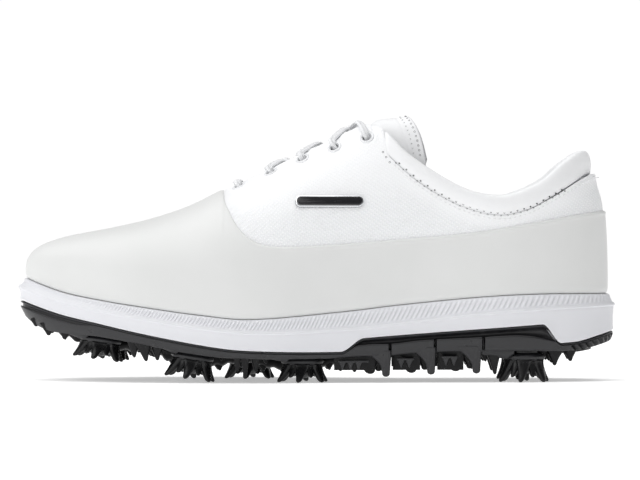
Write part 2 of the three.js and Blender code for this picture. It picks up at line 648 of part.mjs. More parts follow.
// A round tube that follows a smooth curve through points, with rings at the shares given.
function tubeAlong(curve, shares, radius, sides) {
  const places = shares.map((share) => curve.getPoint(share));
  const normal = new THREE.Vector3(0, 0, 1);
  let before = null;
  const rings = places.map((place, i) => {
    const along = places[Math.min(i + 1, places.length - 1)].clone().sub(places[Math.max(i - 1, 0)]).normalize();
    if (before) normal.applyQuaternion(new THREE.Quaternion().setFromUnitVectors(before, along));
    normal.addScaledVector(along, -normal.dot(along)).normalize();
    before = along;
    const across = new THREE.Vector3().crossVectors(along, normal);
    return Array.from({ length: sides }, (_, k) => {
      const angle = (2 * Math.PI * k) / sides;
      return place
        .clone()
        .addScaledVector(normal, radius * Math.cos(angle))
        .addScaledVector(across, radius * Math.sin(angle));
    });
  });
  return ringBody(rings);
}
const lateralHalf = laceHalf(-1, true);
const medialHalf = laceHalf(1, false);
const lacePoints = [...lateralHalf.slice(1).reverse(), lateralHalf[0], ...medialHalf.slice(1)];
const laceCurve = new THREE.CatmullRomCurve3(lacePoints, false, "centripetal");
const LACE_RINGS = 1; // steps between neighbouring points
const laceShares = Array.from({ length: (lacePoints.length - 1) * LACE_RINGS + 1 }, (_, i) => {
  return i / ((lacePoints.length - 1) * LACE_RINGS);
});
add("lace", tubeAlong(laceCurve, laceShares, LACE_RADIUS, 6), textileWhite);
for (const [word, tip] of [["lateral", lacePoints[0]], ["medial", lacePoints.at(-1)]]) {
  const sleeve = cylinder(LACE_RADIUS + AGLET_WALL / 2, LACE_RADIUS + AGLET_WALL / 2, 0, AGLET_LENGTH, 8);
  const slope = (tailBase(TAIL_END - AGLET_LENGTH) - tailBase(TAIL_END)) / AGLET_LENGTH;
  const ahead = new THREE.Vector3(-1, 0, slope).normalize();
  const from = tip.clone().addScaledVector(ahead, GAP).add(new THREE.Vector3(0, 0, AGLET_WALL));
  add(`aglet_${word}`, sleeve, cushionClear, standing(from, ahead));
}


// ---- Sole: rings of one level ------------------------------------------------------
const SOLE_COLUMNS = 48;
const soleTurns = Array.from({ length: SOLE_COLUMNS }, (_, i) => -1 + (2 * i) / SOLE_COLUMNS);
// A point at the sole's edge: how far in from the lip, and how high.
function soleRing(turns, inset, height) {
  return turns.map((turn) => {
    const plan = insetPoint(turn, inset);
    return new THREE.Vector3(plan.x, plan.y, height(turnX(turn)));
  });
}
// A closed band round the shoe whose section is a loop of [inset, height] corners.
function soleBand(section, turns = soleTurns) {
  const loops = section.map(([inset, height]) => soleRing(turns, inset, height));
  const rings = turns.map((_, i) => loops.map((loop) => loop[i]));
  return ringBody(rings, true);
}
// A slab that fills the outline between stacked rings, the first one lowest.
function soleSlab(levels, turns = soleTurns) {
  return slabFrom(levels.map(([inset, height]) => soleRing(turns, inset, height)));
}
function slabFrom(loops) {
  const vertices = loops.flat();
  const triangles = [];
  const size = loops[0].length;
  for (let level = 0; level < loops.length - 1; level++) {
    for (let i = 0; i < size; i++) {
      const next = (i + 1) % size;
      const low = level * size;
      const high = low + size;
      triangles.push([low + i, low + next, high + next], [low + i, high + next, high + i]);
    }
  }
  const top = (loops.length - 1) * size;
  for (const [a, b, c] of stripAcross(size, true)) {
    triangles.push([a, c, b], [top + a, top + b, top + c]);
  }
  if (signedVolume(vertices, triangles) < 0) triangles.forEach((t) => t.reverse());
  return geometryFrom(vertices, triangles);
}
// ---- Where the spikes go -----------------------------------------------------------
const WALL_INSET = 1.5;
const PLATE_EDGE_INSET = WALL_INSET + MIDSOLE_DRAFT + 0.2;
const spikeSpots = [
  ["forefoot_1", -108, -17], ["forefoot_2", -61.6, -33], ["forefoot_3", -7, -29],
  ["forefoot_4", -106, 24], ["forefoot_5", -34, 28],
  ["heel_1", 103.5, -24], ["heel_2", 103.5, 21],
].map(([name, x, y]) => [name, station(x), across(y)]);
// Where the plate lies under a spike, and which way is out of it.
function spikePlacing(x, y) {
  const level = plateHeight(x) < SPIKE_HEIGHT + 1;
  const rise = level ? 0 : (plateHeight(x + 6) - plateHeight(x - 6)) / 12;
  const down = new THREE.Vector3(rise, 0, -1).normalize();
  return standing(new THREE.Vector3(x, y, spikeBase(x)), down);
}
// The height that puts the spike's tip on the ground, or the plate's own where it curls up.
function spikeBase(x) {
  return Math.max(SPIKE_HEIGHT, plateHeight(x) - 0.5);
}
const BOSS_HEIGHT = STUD_LENGTH + GAP + SOCKET_ROOF + 1;
// The part of the outsole that stands up into the midsole round a socket.
function bossOf(grow) {
  const radius = SOCKET_RADIUS + 2 + grow;
  return cylinder(radius, radius, -BOSS_HEIGHT - grow, -GAP, 12);
}

// ---- Rand and midsole ---------------------------------------------------------------
const RAND_NOSE = 1.6;
const randFoot = (x) => lipHeight(x) - RAND_NOSE - 1.4;
const upperBase = (x) => featherHeight(x);
function rand() {
  return soleBand([
    [FEATHER_INSET - 1.1, (x) => upperBase(x) - GAP],
    [FEATHER_INSET - 2.6, (x) => upperBase(x) - GAP - 0.8],
    [0.35, lipHeight],
    [0, (x) => lipHeight(x) - RAND_NOSE / 2],
    [0.5, (x) => lipHeight(x) - RAND_NOSE],
    [RAND_DEPTH, (x) => lipHeight(x) - RAND_NOSE],
    [RAND_DEPTH, (x) => upperBase(x) - GAP],
  ]);
}
add("rand", rand(), foamWhite);

const midsoleTop = (x) => lipHeight(x) - RAND_NOSE - GAP;
function midsole() {
  const slab = soleSlab([
    [WALL_INSET + MIDSOLE_DRAFT, (x) => borderHeight(x) + GAP / 2],
    [WALL_INSET + MIDSOLE_DRAFT * 0.35, (x) => lerp(borderHeight(x), midsoleTop(x), 0.6)],
    [WALL_INSET, midsoleTop],
  ]);
  let solid = solidOf(slab);
  const raised = soleSlab([
    [RAND_DEPTH + GAP, (x) => midsoleTop(x) - 2],
    [RAND_DEPTH + GAP, (x) => upperBase(x) - GAP - BOARD_WALL - GAP],
  ]);
  solid = solid.add(solidOf(raised));
  for (const pocket of cushionPockets) solid = solid.subtract(solidOf(pocket));
  for (const [, x, y] of spikeSpots) solid = solid.subtract(solidOf(bossOf(GAP), spikePlacing(x, y)));
  return geometryOf(solid);
}

// ---- Board, shank, cushions and sock liner ------------------------------------------
function board() {
  return soleSlab([
    [RAND_DEPTH + GAP, (x) => upperBase(x) - GAP - BOARD_WALL],
    [RAND_DEPTH + GAP, (x) => upperBase(x) - GAP],
  ]);
}
function ellipseSlab(centreX, centreY, halfLength, halfBreadth, low, high, grow = 0) {
  const turns = Array.from({ length: 20 }, (_, i) => (2 * Math.PI * i) / 20);
  const ring = (height) => {
    return turns.map((angle) => {
      const x = centreX + (halfLength + grow) * Math.cos(angle);
      return new THREE.Vector3(x, centreY + (halfBreadth + grow) * Math.sin(angle), height(x));
    });
  };
  return slabFrom([ring(low), ring(high)]);
}
const boardFoot = (x) => upperBase(x) - GAP - BOARD_WALL;
const cushionSpots = [["heel_cushion", station(101), 24, 21], ["forefoot_cushion", station(-58), 27, 26]];
const cushionPockets = cushionSpots.map(([, x, halfLength, halfBreadth]) => {
  const low = (at) => boardFoot(at) - GAP - CUSHION_HEIGHT - GAP;
  return ellipseSlab(x, centreLine(x), halfLength, halfBreadth, low, (at) => boardFoot(at) + 2, GAP);
});
const SHANK_BREADTH = 22;
const SHANK_ENDS = [station(-22), station(70)];
function shankSlab(grow) {
  const middle = (SHANK_ENDS[0] + SHANK_ENDS[1]) / 2;
  const reach = (SHANK_ENDS[1] - SHANK_ENDS[0]) / 2;
  const low = (x) => boardFoot(x) - GAP - SHANK_WALL - grow;
  const high = (x) => boardFoot(x) - GAP + (grow ? 2 : 0);
  return ellipseSlab(middle, 0, reach, SHANK_BREADTH / 2, low, high, grow);
}
cushionPockets.push(shankSlab(GAP));
add("midsole", midsole(), foamWhite);
add("lasting_board", board(), boardGrey);
add("shank", shankSlab(0), shankBlack);
for (const [name, x, halfLength, halfBreadth] of cushionSpots) {
  const low = (at) => boardFoot(at) - GAP - CUSHION_HEIGHT;
  const high = (at) => boardFoot(at) - GAP;
  const slab = ellipseSlab(x, centreLine(x), halfLength, halfBreadth, low, high);
  add(name, slab, cushionClear);
}
const liningFoot = FEATHER_INSET - liningInside;
function sockLiner() {
  const edge = liningFoot + GAP + 0.2;
  return soleSlab([
    [edge + 1, (x) => upperBase(x) + GAP / 2],
    [edge + 0.2, (x) => upperBase(x) + SOCK_WALL * 0.7],
    [edge + 0.9, (x) => upperBase(x) + SOCK_WALL],
  ]);
}
add("sock_liner", sockLiner(), stiffenerGrey);

// ---- Outsole ------------------------------------------------------------------------
function fin(x, y, length, height, breadth) {
  // A wedge that leans back: a long front face and a short one behind it.
  const shape = new THREE.Shape();
  shape.moveTo(x - length, 0);
  shape.lineTo(x - length * 0.12, -height);
  shape.lineTo(x + length * 0.06, -height);
  shape.lineTo(x + length * 0.24, 0);
  shape.lineTo(x + length * 0.1, 4);
  shape.lineTo(x - length * 0.7, 4);
  const solid = new THREE.ExtrudeGeometry(shape, { depth: breadth, bevelEnabled: false });
  return solid.rotateX(Math.PI / 2).translate(0, y + breadth / 2, plateHeight(x) + 0.4);
}
// Small moulded teeth on the plate: a ridge with a pointed foot.
function tooth(x, y, length, height, breadth) {
  const shape = new THREE.Shape();
  shape.moveTo(x - length / 2, 1.5);
  shape.lineTo(x - length * 0.1, -height);
  shape.lineTo(x + length * 0.1, -height);
  shape.lineTo(x + length / 2, 1.5);
  const solid = new THREE.ExtrudeGeometry(shape, { depth: breadth, bevelEnabled: false });
  return solid.rotateX(Math.PI / 2).translate(0, y + breadth / 2, plateHeight(x) + 0.2);
}
const FIN_ROWS = [34, 57, 79].map(station); // X of the tips
function edgeAt(x, side) {
  return insetPoint(turnAt(x, side), PLATE_EDGE_INSET).y;
}
function outsole() {
  const slab = soleSlab([
    [PLATE_EDGE_INSET + 4.2, plateHeight],
    [PLATE_EDGE_INSET + 1.2, (x) => lerp(plateHeight(x), borderHeight(x), 0.35)],
    [PLATE_EDGE_INSET, (x) => borderHeight(x) - GAP / 2],
  ]);
  let solid = solidOf(slab);
  for (const side of [-1, 1]) {
    for (const x of FIN_ROWS) {
      const y = edgeAt(x, side) - side * (FIN_BREADTH / 2 + 3);
      solid = solid.add(solidOf(fin(x, y, 18, plateHeight(x) - 3.4, FIN_BREADTH)));
    }
    for (const x of [-136, -90, -82, -36, -29, 84, 121].map(station)) {
      const y = edgeAt(x, side) - side * 9;
      const reach = clamp(plateHeight(x) * 0.62, 4, 9.4);
      solid = solid.add(solidOf(tooth(x, y, 9, reach, 6)));
    }
  }
  for (const [, x, y] of spikeSpots) {
    const placing = spikePlacing(x, y);
    solid = solid.add(solidOf(bossOf(0), placing));
    solid = solid.subtract(solidOf(cylinder(SPIKE_RADIUS + 0.8, SPIKE_RADIUS + 0.8, -0.4, 9, 12), placing));
    const bore = SOCKET_RADIUS + GAP * 1.5;
    solid = solid.subtract(solidOf(cylinder(bore, bore, -BOSS_HEIGHT + 0.7, 3, 12), placing));
  }
  return geometryOf(solid);
}
add("outsole", outsole(), rubberBlack);

// ---- Spikes and their sockets -------------------------------------------------------
function socket() {
  return lathe(
    [
      [0, -STUD_LENGTH - GAP - SOCKET_ROOF], [SOCKET_RADIUS, -STUD_LENGTH - GAP - SOCKET_ROOF],
      [SOCKET_RADIUS, -GAP], [STUD_RADIUS + GAP * 2, -GAP], [STUD_RADIUS + GAP * 2, -STUD_LENGTH - GAP],
      [0, -STUD_LENGTH - GAP],
    ],
    12,
  );
}
// A flange, a threaded stud above it and a ring of legs below.
function spike() {
  const stem = lathe(
    [
      [0, -STUD_LENGTH], [STUD_RADIUS, -STUD_LENGTH], [STUD_RADIUS, 0], [SPIKE_RADIUS, 0],
      [SPIKE_RADIUS, 1.4], [6.5, 3.6], [0, 5.4],
    ],
    12,
  );
  let solid = solidOf(stem);
  for (let i = 0; i < SPIKE_LEGS; i++) {
    const shape = new THREE.Shape();
    shape.moveTo(SPIKE_RADIUS - 5, 0.7);
    shape.lineTo(SPIKE_RADIUS - 0.8, 0.7);
    shape.lineTo(SPIKE_RADIUS - 1.5, SPIKE_HEIGHT);
    shape.lineTo(SPIKE_RADIUS - 3, SPIKE_HEIGHT);
    const leg = new THREE.ExtrudeGeometry(shape, { depth: 3, bevelEnabled: false });
    leg.translate(0, 0, -1.5).rotateX(Math.PI / 2).rotateZ(((i + 0.5) * 2 * Math.PI) / SPIKE_LEGS);
    solid = solid.add(solidOf(leg));
  }
  return geometryOf(solid);
}
for (const [name, x, y] of spikeSpots) {
  add(`socket_${name}`, socket(), spikeBlack, spikePlacing(x, y));
  add(`spike_${name}`, spike(), spikeBlack, spikePlacing(x, y));
}

// ---- Side badges --------------------------------------------------------------------
const BADGE_X = station(7);
function badge(side) {
  const at = (x) => {
    const turn = turnAt(x, side);
    return lastPoint(turn, riseAtLine(turn, () => 89.5), side < 0 ? 0.5 : 1);
  };
  const middle = at(BADGE_X);
  const back = at(BADGE_X + BADGE_LENGTH / 2 - 1);
  const front = at(BADGE_X - BADGE_LENGTH / 2 + 1);
  const along = back.sub(front).normalize();
  const turn = turnAt(BADGE_X, side);
  const up = lastPoint(turn, riseAtLine(turn, () => 92), 0).sub(lastPoint(turn, riseAtLine(turn, () => 87), 0));
  const out = new THREE.Vector3().crossVectors(along, up).normalize();
  if (out.y * side < 0) out.negate();
  const across = new THREE.Vector3().crossVectors(out, along);
  const shape = new THREE.Shape();
  const radius = BADGE_BREADTH / 2;
  const reach = BADGE_LENGTH / 2 - radius;
  shape.absarc(reach, 0, radius, -Math.PI / 2, Math.PI / 2);
  shape.absarc(-reach, 0, radius, Math.PI / 2, (3 * Math.PI) / 2);
  const solid = new THREE.ExtrudeGeometry(shape, { depth: BADGE_WALL, bevelEnabled: false, curveSegments: 6 });
  const frame = new THREE.Matrix4().makeBasis(along, across, out).setPosition(middle);
  return solid.applyMatrix4(frame);
}
add("badge_lateral", badge(-1), chrome);
add("badge_medial", badge(1), chrome);

export default shoe;
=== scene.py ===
import math

import bmesh
import bpy
import numpy as np
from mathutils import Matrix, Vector


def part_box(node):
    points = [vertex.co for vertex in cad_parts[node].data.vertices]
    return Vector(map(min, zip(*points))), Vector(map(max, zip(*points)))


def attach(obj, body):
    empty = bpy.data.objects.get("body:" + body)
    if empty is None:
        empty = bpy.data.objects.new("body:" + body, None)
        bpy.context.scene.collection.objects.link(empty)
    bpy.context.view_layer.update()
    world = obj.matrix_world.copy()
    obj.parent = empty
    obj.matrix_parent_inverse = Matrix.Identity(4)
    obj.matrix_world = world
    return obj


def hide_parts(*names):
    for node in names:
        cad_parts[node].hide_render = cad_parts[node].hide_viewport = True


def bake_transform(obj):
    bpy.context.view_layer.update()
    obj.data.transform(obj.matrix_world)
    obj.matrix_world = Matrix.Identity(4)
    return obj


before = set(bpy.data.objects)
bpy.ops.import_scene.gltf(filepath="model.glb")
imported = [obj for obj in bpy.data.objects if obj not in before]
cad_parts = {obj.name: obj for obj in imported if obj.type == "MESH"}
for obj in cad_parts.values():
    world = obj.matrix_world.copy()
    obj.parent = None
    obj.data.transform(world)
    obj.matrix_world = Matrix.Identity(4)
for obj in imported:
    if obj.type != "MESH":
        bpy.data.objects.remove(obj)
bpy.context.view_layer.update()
MM = 0.001

# ---- Studio -------------------------------------------------------------------------
# A long lens nearly level with the sole, looking at the lateral side. A wide white floor,
# one soft light overhead and one on the near side ahead of the toe, and a pale surround.
VIEW_WIDTH, VIEW_DISTANCE, VIEW_ELEVATION = 320.4, 3200.0, 0.7
AIM = Vector((1.8, -14, 70.6))
SENSOR_WIDTH = 36
FLOOR_REACH, FLOOR_SIDES = 1.5, 96
HORIZON, SKY, FLOOR_GLOW, SHADE = 1.02, 0.28, 0.42, 0.35
SHADE_WAY = (0.8, -0.6, 0)


def add_camera():
    data = bpy.data.cameras.new("camera")
    data.sensor_width = SENSOR_WIDTH
    data.lens = data.sensor_width * VIEW_DISTANCE / VIEW_WIDTH
    data.clip_end = 100
    camera = bpy.data.objects.new("camera", data)
    rise = math.radians(VIEW_ELEVATION)
    away = Vector((0, -math.cos(rise), math.sin(rise)))
    camera.location = (AIM + away * VIEW_DISTANCE) * MM
    camera.rotation_euler = (-away).to_track_quat("-Z", "Y").to_euler()
    bpy.context.scene.collection.objects.link(camera)
    bpy.context.scene.camera = camera


def add_light(name, place, size, radiance, aim=(0, 0, 0.06)):
    data = bpy.data.lights.new(name, "AREA")
    data.shape = "RECTANGLE"
    data.size, data.size_y = size
    data.energy = radiance * math.pi * size[0] * size[1]
    light = bpy.data.objects.new(name, data)
    light.location = place
    light.rotation_euler = (Vector(aim) - Vector(place)).to_track_quat("-Z", "Y").to_euler()
    bpy.context.scene.collection.objects.link(light)


def circle(count):
    """Evenly spaced angles, once round."""
    return np.linspace(0, 2 * np.pi, count + 1)[:-1]


def add_floor():
    ring = [(FLOOR_REACH * math.cos(a), FLOOR_REACH * math.sin(a), 0) for a in circle(FLOOR_SIDES)]
    mesh = bpy.data.meshes.new("floor")
    mesh.from_pydata(ring, [], [list(range(FLOOR_SIDES))])
    floor = bpy.data.objects.new("floor", mesh)
    bpy.context.scene.collection.objects.link(floor)
    paint = bpy.data.materials.new("floor_white")
    paint.use_nodes = True
    shader = paint.node_tree.nodes["Principled BSDF"]
    shader.inputs["Base Color"].default_value = (0.9, 0.9, 0.9, 1)
    shader.inputs["Roughness"].default_value = 0.9
    shader.inputs["Emission Color"].default_value = (1, 1, 1, 1)
    shader.inputs["Emission Strength"].default_value = FLOOR_GLOW
    mesh.materials.append(paint)


def set_inputs(node, **values):
    for key, value in values.items():
        node.inputs[key.replace("_", " ")].default_value = value


def add_world():
    """White round the horizon, dimmer overhead and beyond the heel on the near side."""
    world = bpy.data.worlds.new("studio")
    world.use_nodes = True
    tree = world.node_tree
    place = tree.nodes.new("ShaderNodeTexCoord")
    apart = tree.nodes.new("ShaderNodeSeparateXYZ")
    fade = tree.nodes.new("ShaderNodeMapRange")
    set_inputs(fade, From_Min=0.06, From_Max=0.35, To_Min=HORIZON, To_Max=SKY)
    tree.links.new(place.outputs["Generated"], apart.inputs[0])
    tree.links.new(apart.outputs["Z"], fade.inputs["Value"])
    facing, flag, both, rise, raised = (tree.nodes.new(f"ShaderNode{kind}") for kind in (
        "VectorMath", "MapRange", "Math", "MapRange", "Math"))
    facing.operation, both.operation, raised.operation = "DOT_PRODUCT", "MULTIPLY", "MULTIPLY"
    set_inputs(rise, From_Min=0.02, From_Max=0.12)
    facing.inputs[1].default_value = SHADE_WAY
    set_inputs(flag, From_Min=0.1, From_Max=0.9, To_Min=1, To_Max=SHADE)
    tree.links.new(place.outputs["Generated"], facing.inputs[0])
    tree.links.new(apart.outputs["Z"], rise.inputs["Value"])
    tree.links.new(facing.outputs["Value"], raised.inputs[0])
    tree.links.new(rise.outputs["Result"], raised.inputs[1])
    tree.links.new(raised.outputs[0], flag.inputs["Value"])
    tree.links.new(fade.outputs["Result"], both.inputs[0])
    tree.links.new(flag.outputs["Result"], both.inputs[1])
    tree.links.new(both.outputs[0], tree.nodes["Background"].inputs["Strength"])
    tree.nodes["Background"].inputs["Color"].default_value = (1, 1, 1, 1)
    bpy.context.scene.world = world


add_camera()
add_world()
add_floor()
add_light("overhead", (-0.3, -0.1, 1.7), (2.4, 2.4), 2.05)
add_light("front", (-1.9, -1.3, 0.8), (1.2, 1.0), 1.7)
bpy.context.scene.view_settings.view_transform = "Standard"

# ---- Quarters -----------------------------------------------------------------------
# The leather of the two sides, embossed with a fine diagonal dot. Each is pulled over the
# last, its throat edge folded in, and is sewn to the collar and at the back of the heel.
#
# The last is the smooth form inside the upper. A place round it is a turn from -1 to 1
# (0 at the toe, below 0 on the lateral side) and a rise from 0 at the sole to 1 at the
# spine. A lift is a distance out from the skin.
rand_low, rand_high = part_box("rand")
HALF = round((rand_high.x - rand_low.x) / 2 / MM)
BREADTH = 108
FEATHER_INSET = 4.7


def curve(points):
    xs, ys = np.array(points, float).T
    slopes = np.gradient(ys, xs)
    slopes[1:-1] = (ys[2:] - ys[:-2]) / (xs[2:] - xs[:-2])

    def at(x):
        x = np.clip(np.asarray(x, float), xs[0], xs[-1])
        i = np.clip(np.searchsorted(xs, x, side="right") - 1, 0, len(xs) - 2)
        span = xs[i + 1] - xs[i]
        a = (x - xs[i]) / span
        b = 1 - a
        ends = ys[i] * b * b * (1 + 2 * a) + ys[i + 1] * a * a * (1 + 2 * b)
        return ends + span * a * b * (slopes[i] * b - slopes[i + 1] * a)

    return at


def along(points):
    at = curve(points)
    return lambda x: at(np.asarray(x, float) / HALF)


def step(x, low, high):
    a = np.clip((np.asarray(x, float) - low) / (high - low), 0, 1)
    return a * a * (3 - 2 * a)


def mix(a, b, share):
    return a + (b - a) * share


def smooth_max(a, b, width):
    return b + width * np.log1p(np.exp((a - b) / width))


feather_height = along([
    (-1, 51.5), (-0.86, 44.7), (-0.72, 40.7), (-0.59, 37.8), (-0.39, 33.8), (-0.22, 31.7),
    (0.08, 35.2), (0.28, 38.7), (0.55, 42.6), (0.75, 44), (1, 44)])
lip_height = along([
    (-1, 47.2), (-0.86, 40.2), (-0.72, 35.7), (-0.59, 32.2), (-0.39, 27.6), (-0.2, 25),
    (0.08, 26.6), (0.28, 29.6), (0.55, 34.2), (0.75, 36.7), (1, 38.6)])
crown_height = along([
    (-1, 67.5), (-0.875, 70.6), (-0.74, 74), (-0.63, 77.3), (-0.527, 81.3), (-0.42, 87),
    (-0.3, 96), (0, 118.5), (0.13, 128.5), (0.2, 133.5), (0.32, 139.4), (0.63, 162), (1, 163)])
centre_line = along([(-1, 6), (0, 0), (1, -1)])
lateral_shape = along([
    (-1, 48), (-0.73, 58), (-0.47, 59), (-0.2, 56), (0.13, 45.5), (0.4, 43), (0.67, 48), (1, 50)])
medial_shape = along([
    (-1, 48), (-0.73, 57), (-0.5, 56.2), (-0.2, 49.6), (0.13, 38), (0.4, 37.5), (0.67, 48), (1, 50)])
spine_offset = along([(-1, 7), (-0.4, 3), (0, -1.5), (0.3, -3.5), (0.6, -2), (1, -1)])
fullness = along([(-1, 3.8), (-0.75, 2.9), (-0.4, 2.35), (0, 2.3), (0.3, 2.55), (1, 2.55)])
END_SQUARENESS = 0.82
TOE_POLE, HEEL_POLE, POLE_EASE = -0.7 * HALF, 0.62 * HALF, 12


def turn_x(turn):
    return -HALF * np.cos(np.pi * np.asarray(turn, float))


def turn_at(x, side):
    return side * np.arccos(np.clip(-np.asarray(x, float) / HALF, -1, 1)) / np.pi


def half_shape(turn):
    x = turn_x(turn)
    shape = np.where(turn < 0, lateral_shape(x), medial_shape(x))
    return shape * np.abs(np.sin(np.pi * turn)) ** END_SQUARENESS


def side_scale(side):
    turn = side * np.arange(1, 400) / 400
    return np.min((BREADTH / 2 - side * centre_line(turn_x(turn))) / half_shape(turn))


LATERAL_SCALE, MEDIAL_SCALE = side_scale(-1), side_scale(1)


def lip_point(turn):
    turn = (np.asarray(turn, float) + 1) % 2 - 1
    scale = np.where(turn < 0, LATERAL_SCALE, MEDIAL_SCALE)
    x = turn_x(turn)
    return np.stack([x, centre_line(x) + np.sign(turn) * scale * half_shape(turn)], -1)


def inset_point(turn, inset):
    ahead = lip_point(turn + 0.004) - lip_point(turn - 0.004)
    ahead /= np.linalg.norm(ahead, axis=-1, keepdims=True)
    inward = np.stack([ahead[..., 1], -ahead[..., 0]], -1)
    return lip_point(turn) + inward * np.asarray(inset, float)[..., None]


def spine_point(turn):
    eased = smooth_max(turn_x(turn), TOE_POLE, POLE_EASE)
    x = -smooth_max(-eased, -HEEL_POLE, POLE_EASE)
    return np.stack([x, spine_offset(x)], -1)


def last_point(turn, rise, lift=0.0):
    turn, rise, lift = np.broadcast_arrays(*(np.asarray(v, float) for v in (turn, rise, lift)))
    foot = inset_point(turn, FEATHER_INSET - lift)
    power = 2 / fullness(turn_x(turn))
    rise = np.clip(rise, 0, 1)
    reach = np.maximum(np.cos(np.pi / 2 * rise), 0) ** power
    height = np.sin(np.pi / 2 * rise) ** power
    plan = spine_point(turn) * (1 - reach[..., None]) + foot * reach[..., None]
    base = feather_height(turn_x(turn))
    z = base + (crown_height(plan[..., 0]) + lift - base) * height
    return np.concatenate([plan, z[..., None]], -1)


def rise_at(turn, line, lift=0.0):
    turn = np.asarray(turn, float)
    low, high = np.zeros_like(turn), np.ones_like(turn)
    for _ in range(26):
        middle = (low + high) / 2
        point = last_point(turn, middle, lift)
        under = point[..., 2] < line(point[..., 0])
        low, high = np.where(under, middle, low), np.where(under, high, middle)
    return np.where(high > 1 - 1e-6, 1.0, high)


def rise_at_spread(turn, spread, lift=0.0):
    inset = FEATHER_INSET - np.asarray(lift, float) + 0 * np.asarray(turn, float)
    whole = np.linalg.norm(inset_point(turn, inset) - spine_point(turn), axis=-1)
    reach = np.clip(spread / whole, 0, 1)
    return 2 / np.pi * np.arccos(reach ** (fullness(turn_x(turn)) / 2))


def at_spread(x, side, spread, lift):
    """A place a distance out from the spine, measured along the plan."""
    turn = turn_at(x, side)
    return last_point(turn, rise_at_spread(turn, spread, lift), lift)


def at_height(x, side, height, lift=0.0):
    turn = turn_at(x, side)
    return last_point(turn, rise_at(turn, lambda _: height, lift), lift)


def even_turns(count, start=-1.0, end=1.0):
    fine = np.linspace(start, end, 6000)
    length = np.r_[0, np.cumsum(np.linalg.norm(np.diff(lip_point(fine), axis=0), axis=1))]
    return np.interp(np.linspace(0, length[-1], count), length, fine)


def eased(count):
    """Shares from 0 to 1, closer together at both ends."""
    return (1 - np.cos(np.pi * np.linspace(0, 1, count))) / 2


def mesh_object(name, vertices, faces, flow=None):
    """flow is a place on the surface in mm for each vertex, and how strong its pattern is."""
    mesh = bpy.data.meshes.new(name)
    places = (np.asarray(vertices, float) * MM).tolist()
    mesh.from_pydata(places, [], [[int(i) for i in face] for face in faces])
    if flow is not None:
        layer = mesh.attributes.new("flow", "FLOAT_VECTOR", "POINT")
        layer.data.foreach_set("vector", np.asarray(flow, np.float32).ravel())
    mesh.polygons.foreach_set("use_smooth", [True] * len(mesh.polygons))
    mesh.update()
    made = bpy.data.objects.new(name, mesh)
    bpy.context.scene.collection.objects.link(made)
    return made


def grid_faces(rows, columns, loop_rows=False, loop_columns=False):
    i, j = np.meshgrid(
        np.arange(rows if loop_rows else rows - 1),
        np.arange(columns if loop_columns else columns - 1), indexing="ij")
    k, m = (i + 1) % rows, (j + 1) % columns
    corners = (i * columns + j, k * columns + j, k * columns + m, i * columns + m)
    return np.stack(corners, -1).reshape(-1, 4)


def grid_flow(points, strength=1.0, row=None):
    across = np.linalg.norm(np.diff(points, axis=0), axis=2)
    up = np.linalg.norm(np.diff(points, axis=1), axis=2)
    u = np.pad(np.cumsum(across, axis=0), [(1, 0), (0, 0)])
    v = np.pad(np.cumsum(up, axis=1), [(0, 0), (1, 0)])
    row = u.shape[1] // 2 if row is None else row
    return np.stack([u[:, [row]] + 0 * u, v, strength + 0 * v], -1)


def grid_object(name, points, loop_rows=False, loop_columns=False, flow=None, caps=False):
    rows, columns = points.shape[:2]
    faces = grid_faces(rows, columns, loop_rows, loop_columns).tolist()
    if caps:
        faces.append(list(range(columns))[::-1])
        faces.append([(rows - 1) * columns + k for k in range(columns)])
    flow = grid_flow(points) if flow is None else flow
    return mesh_object(name, points.reshape(-1, 3), faces, flow.reshape(-1, 3))


def tidy(piece, weld=0.004):
    """Join vertices that meet, and turn the faces out."""
    form = bmesh.new()
    form.from_mesh(piece.data)
    bmesh.ops.remove_doubles(form, verts=form.verts, dist=weld * MM)
    bmesh.ops.recalc_face_normals(form, faces=form.faces)
    form.to_mesh(piece.data)
    form.free()
    return piece


def walled(piece, wall, offset=-1):
    made = piece.modifiers.new("wall", "SOLIDIFY")
    made.thickness = wall * MM
    made.offset = offset
    return piece


def joined(name, parts):
    """One piece from (vertices, faces) parts."""
    vertices, faces, start = [], [], 0
    for part_vertices, part_faces in parts:
        part_vertices = np.asarray(part_vertices, float).reshape(-1, 3)
        vertices.append(part_vertices)
        faces += [[int(i) + start for i in face] for face in part_faces]
        start += len(part_vertices)
    return mesh_object(name, np.concatenate(vertices), faces)


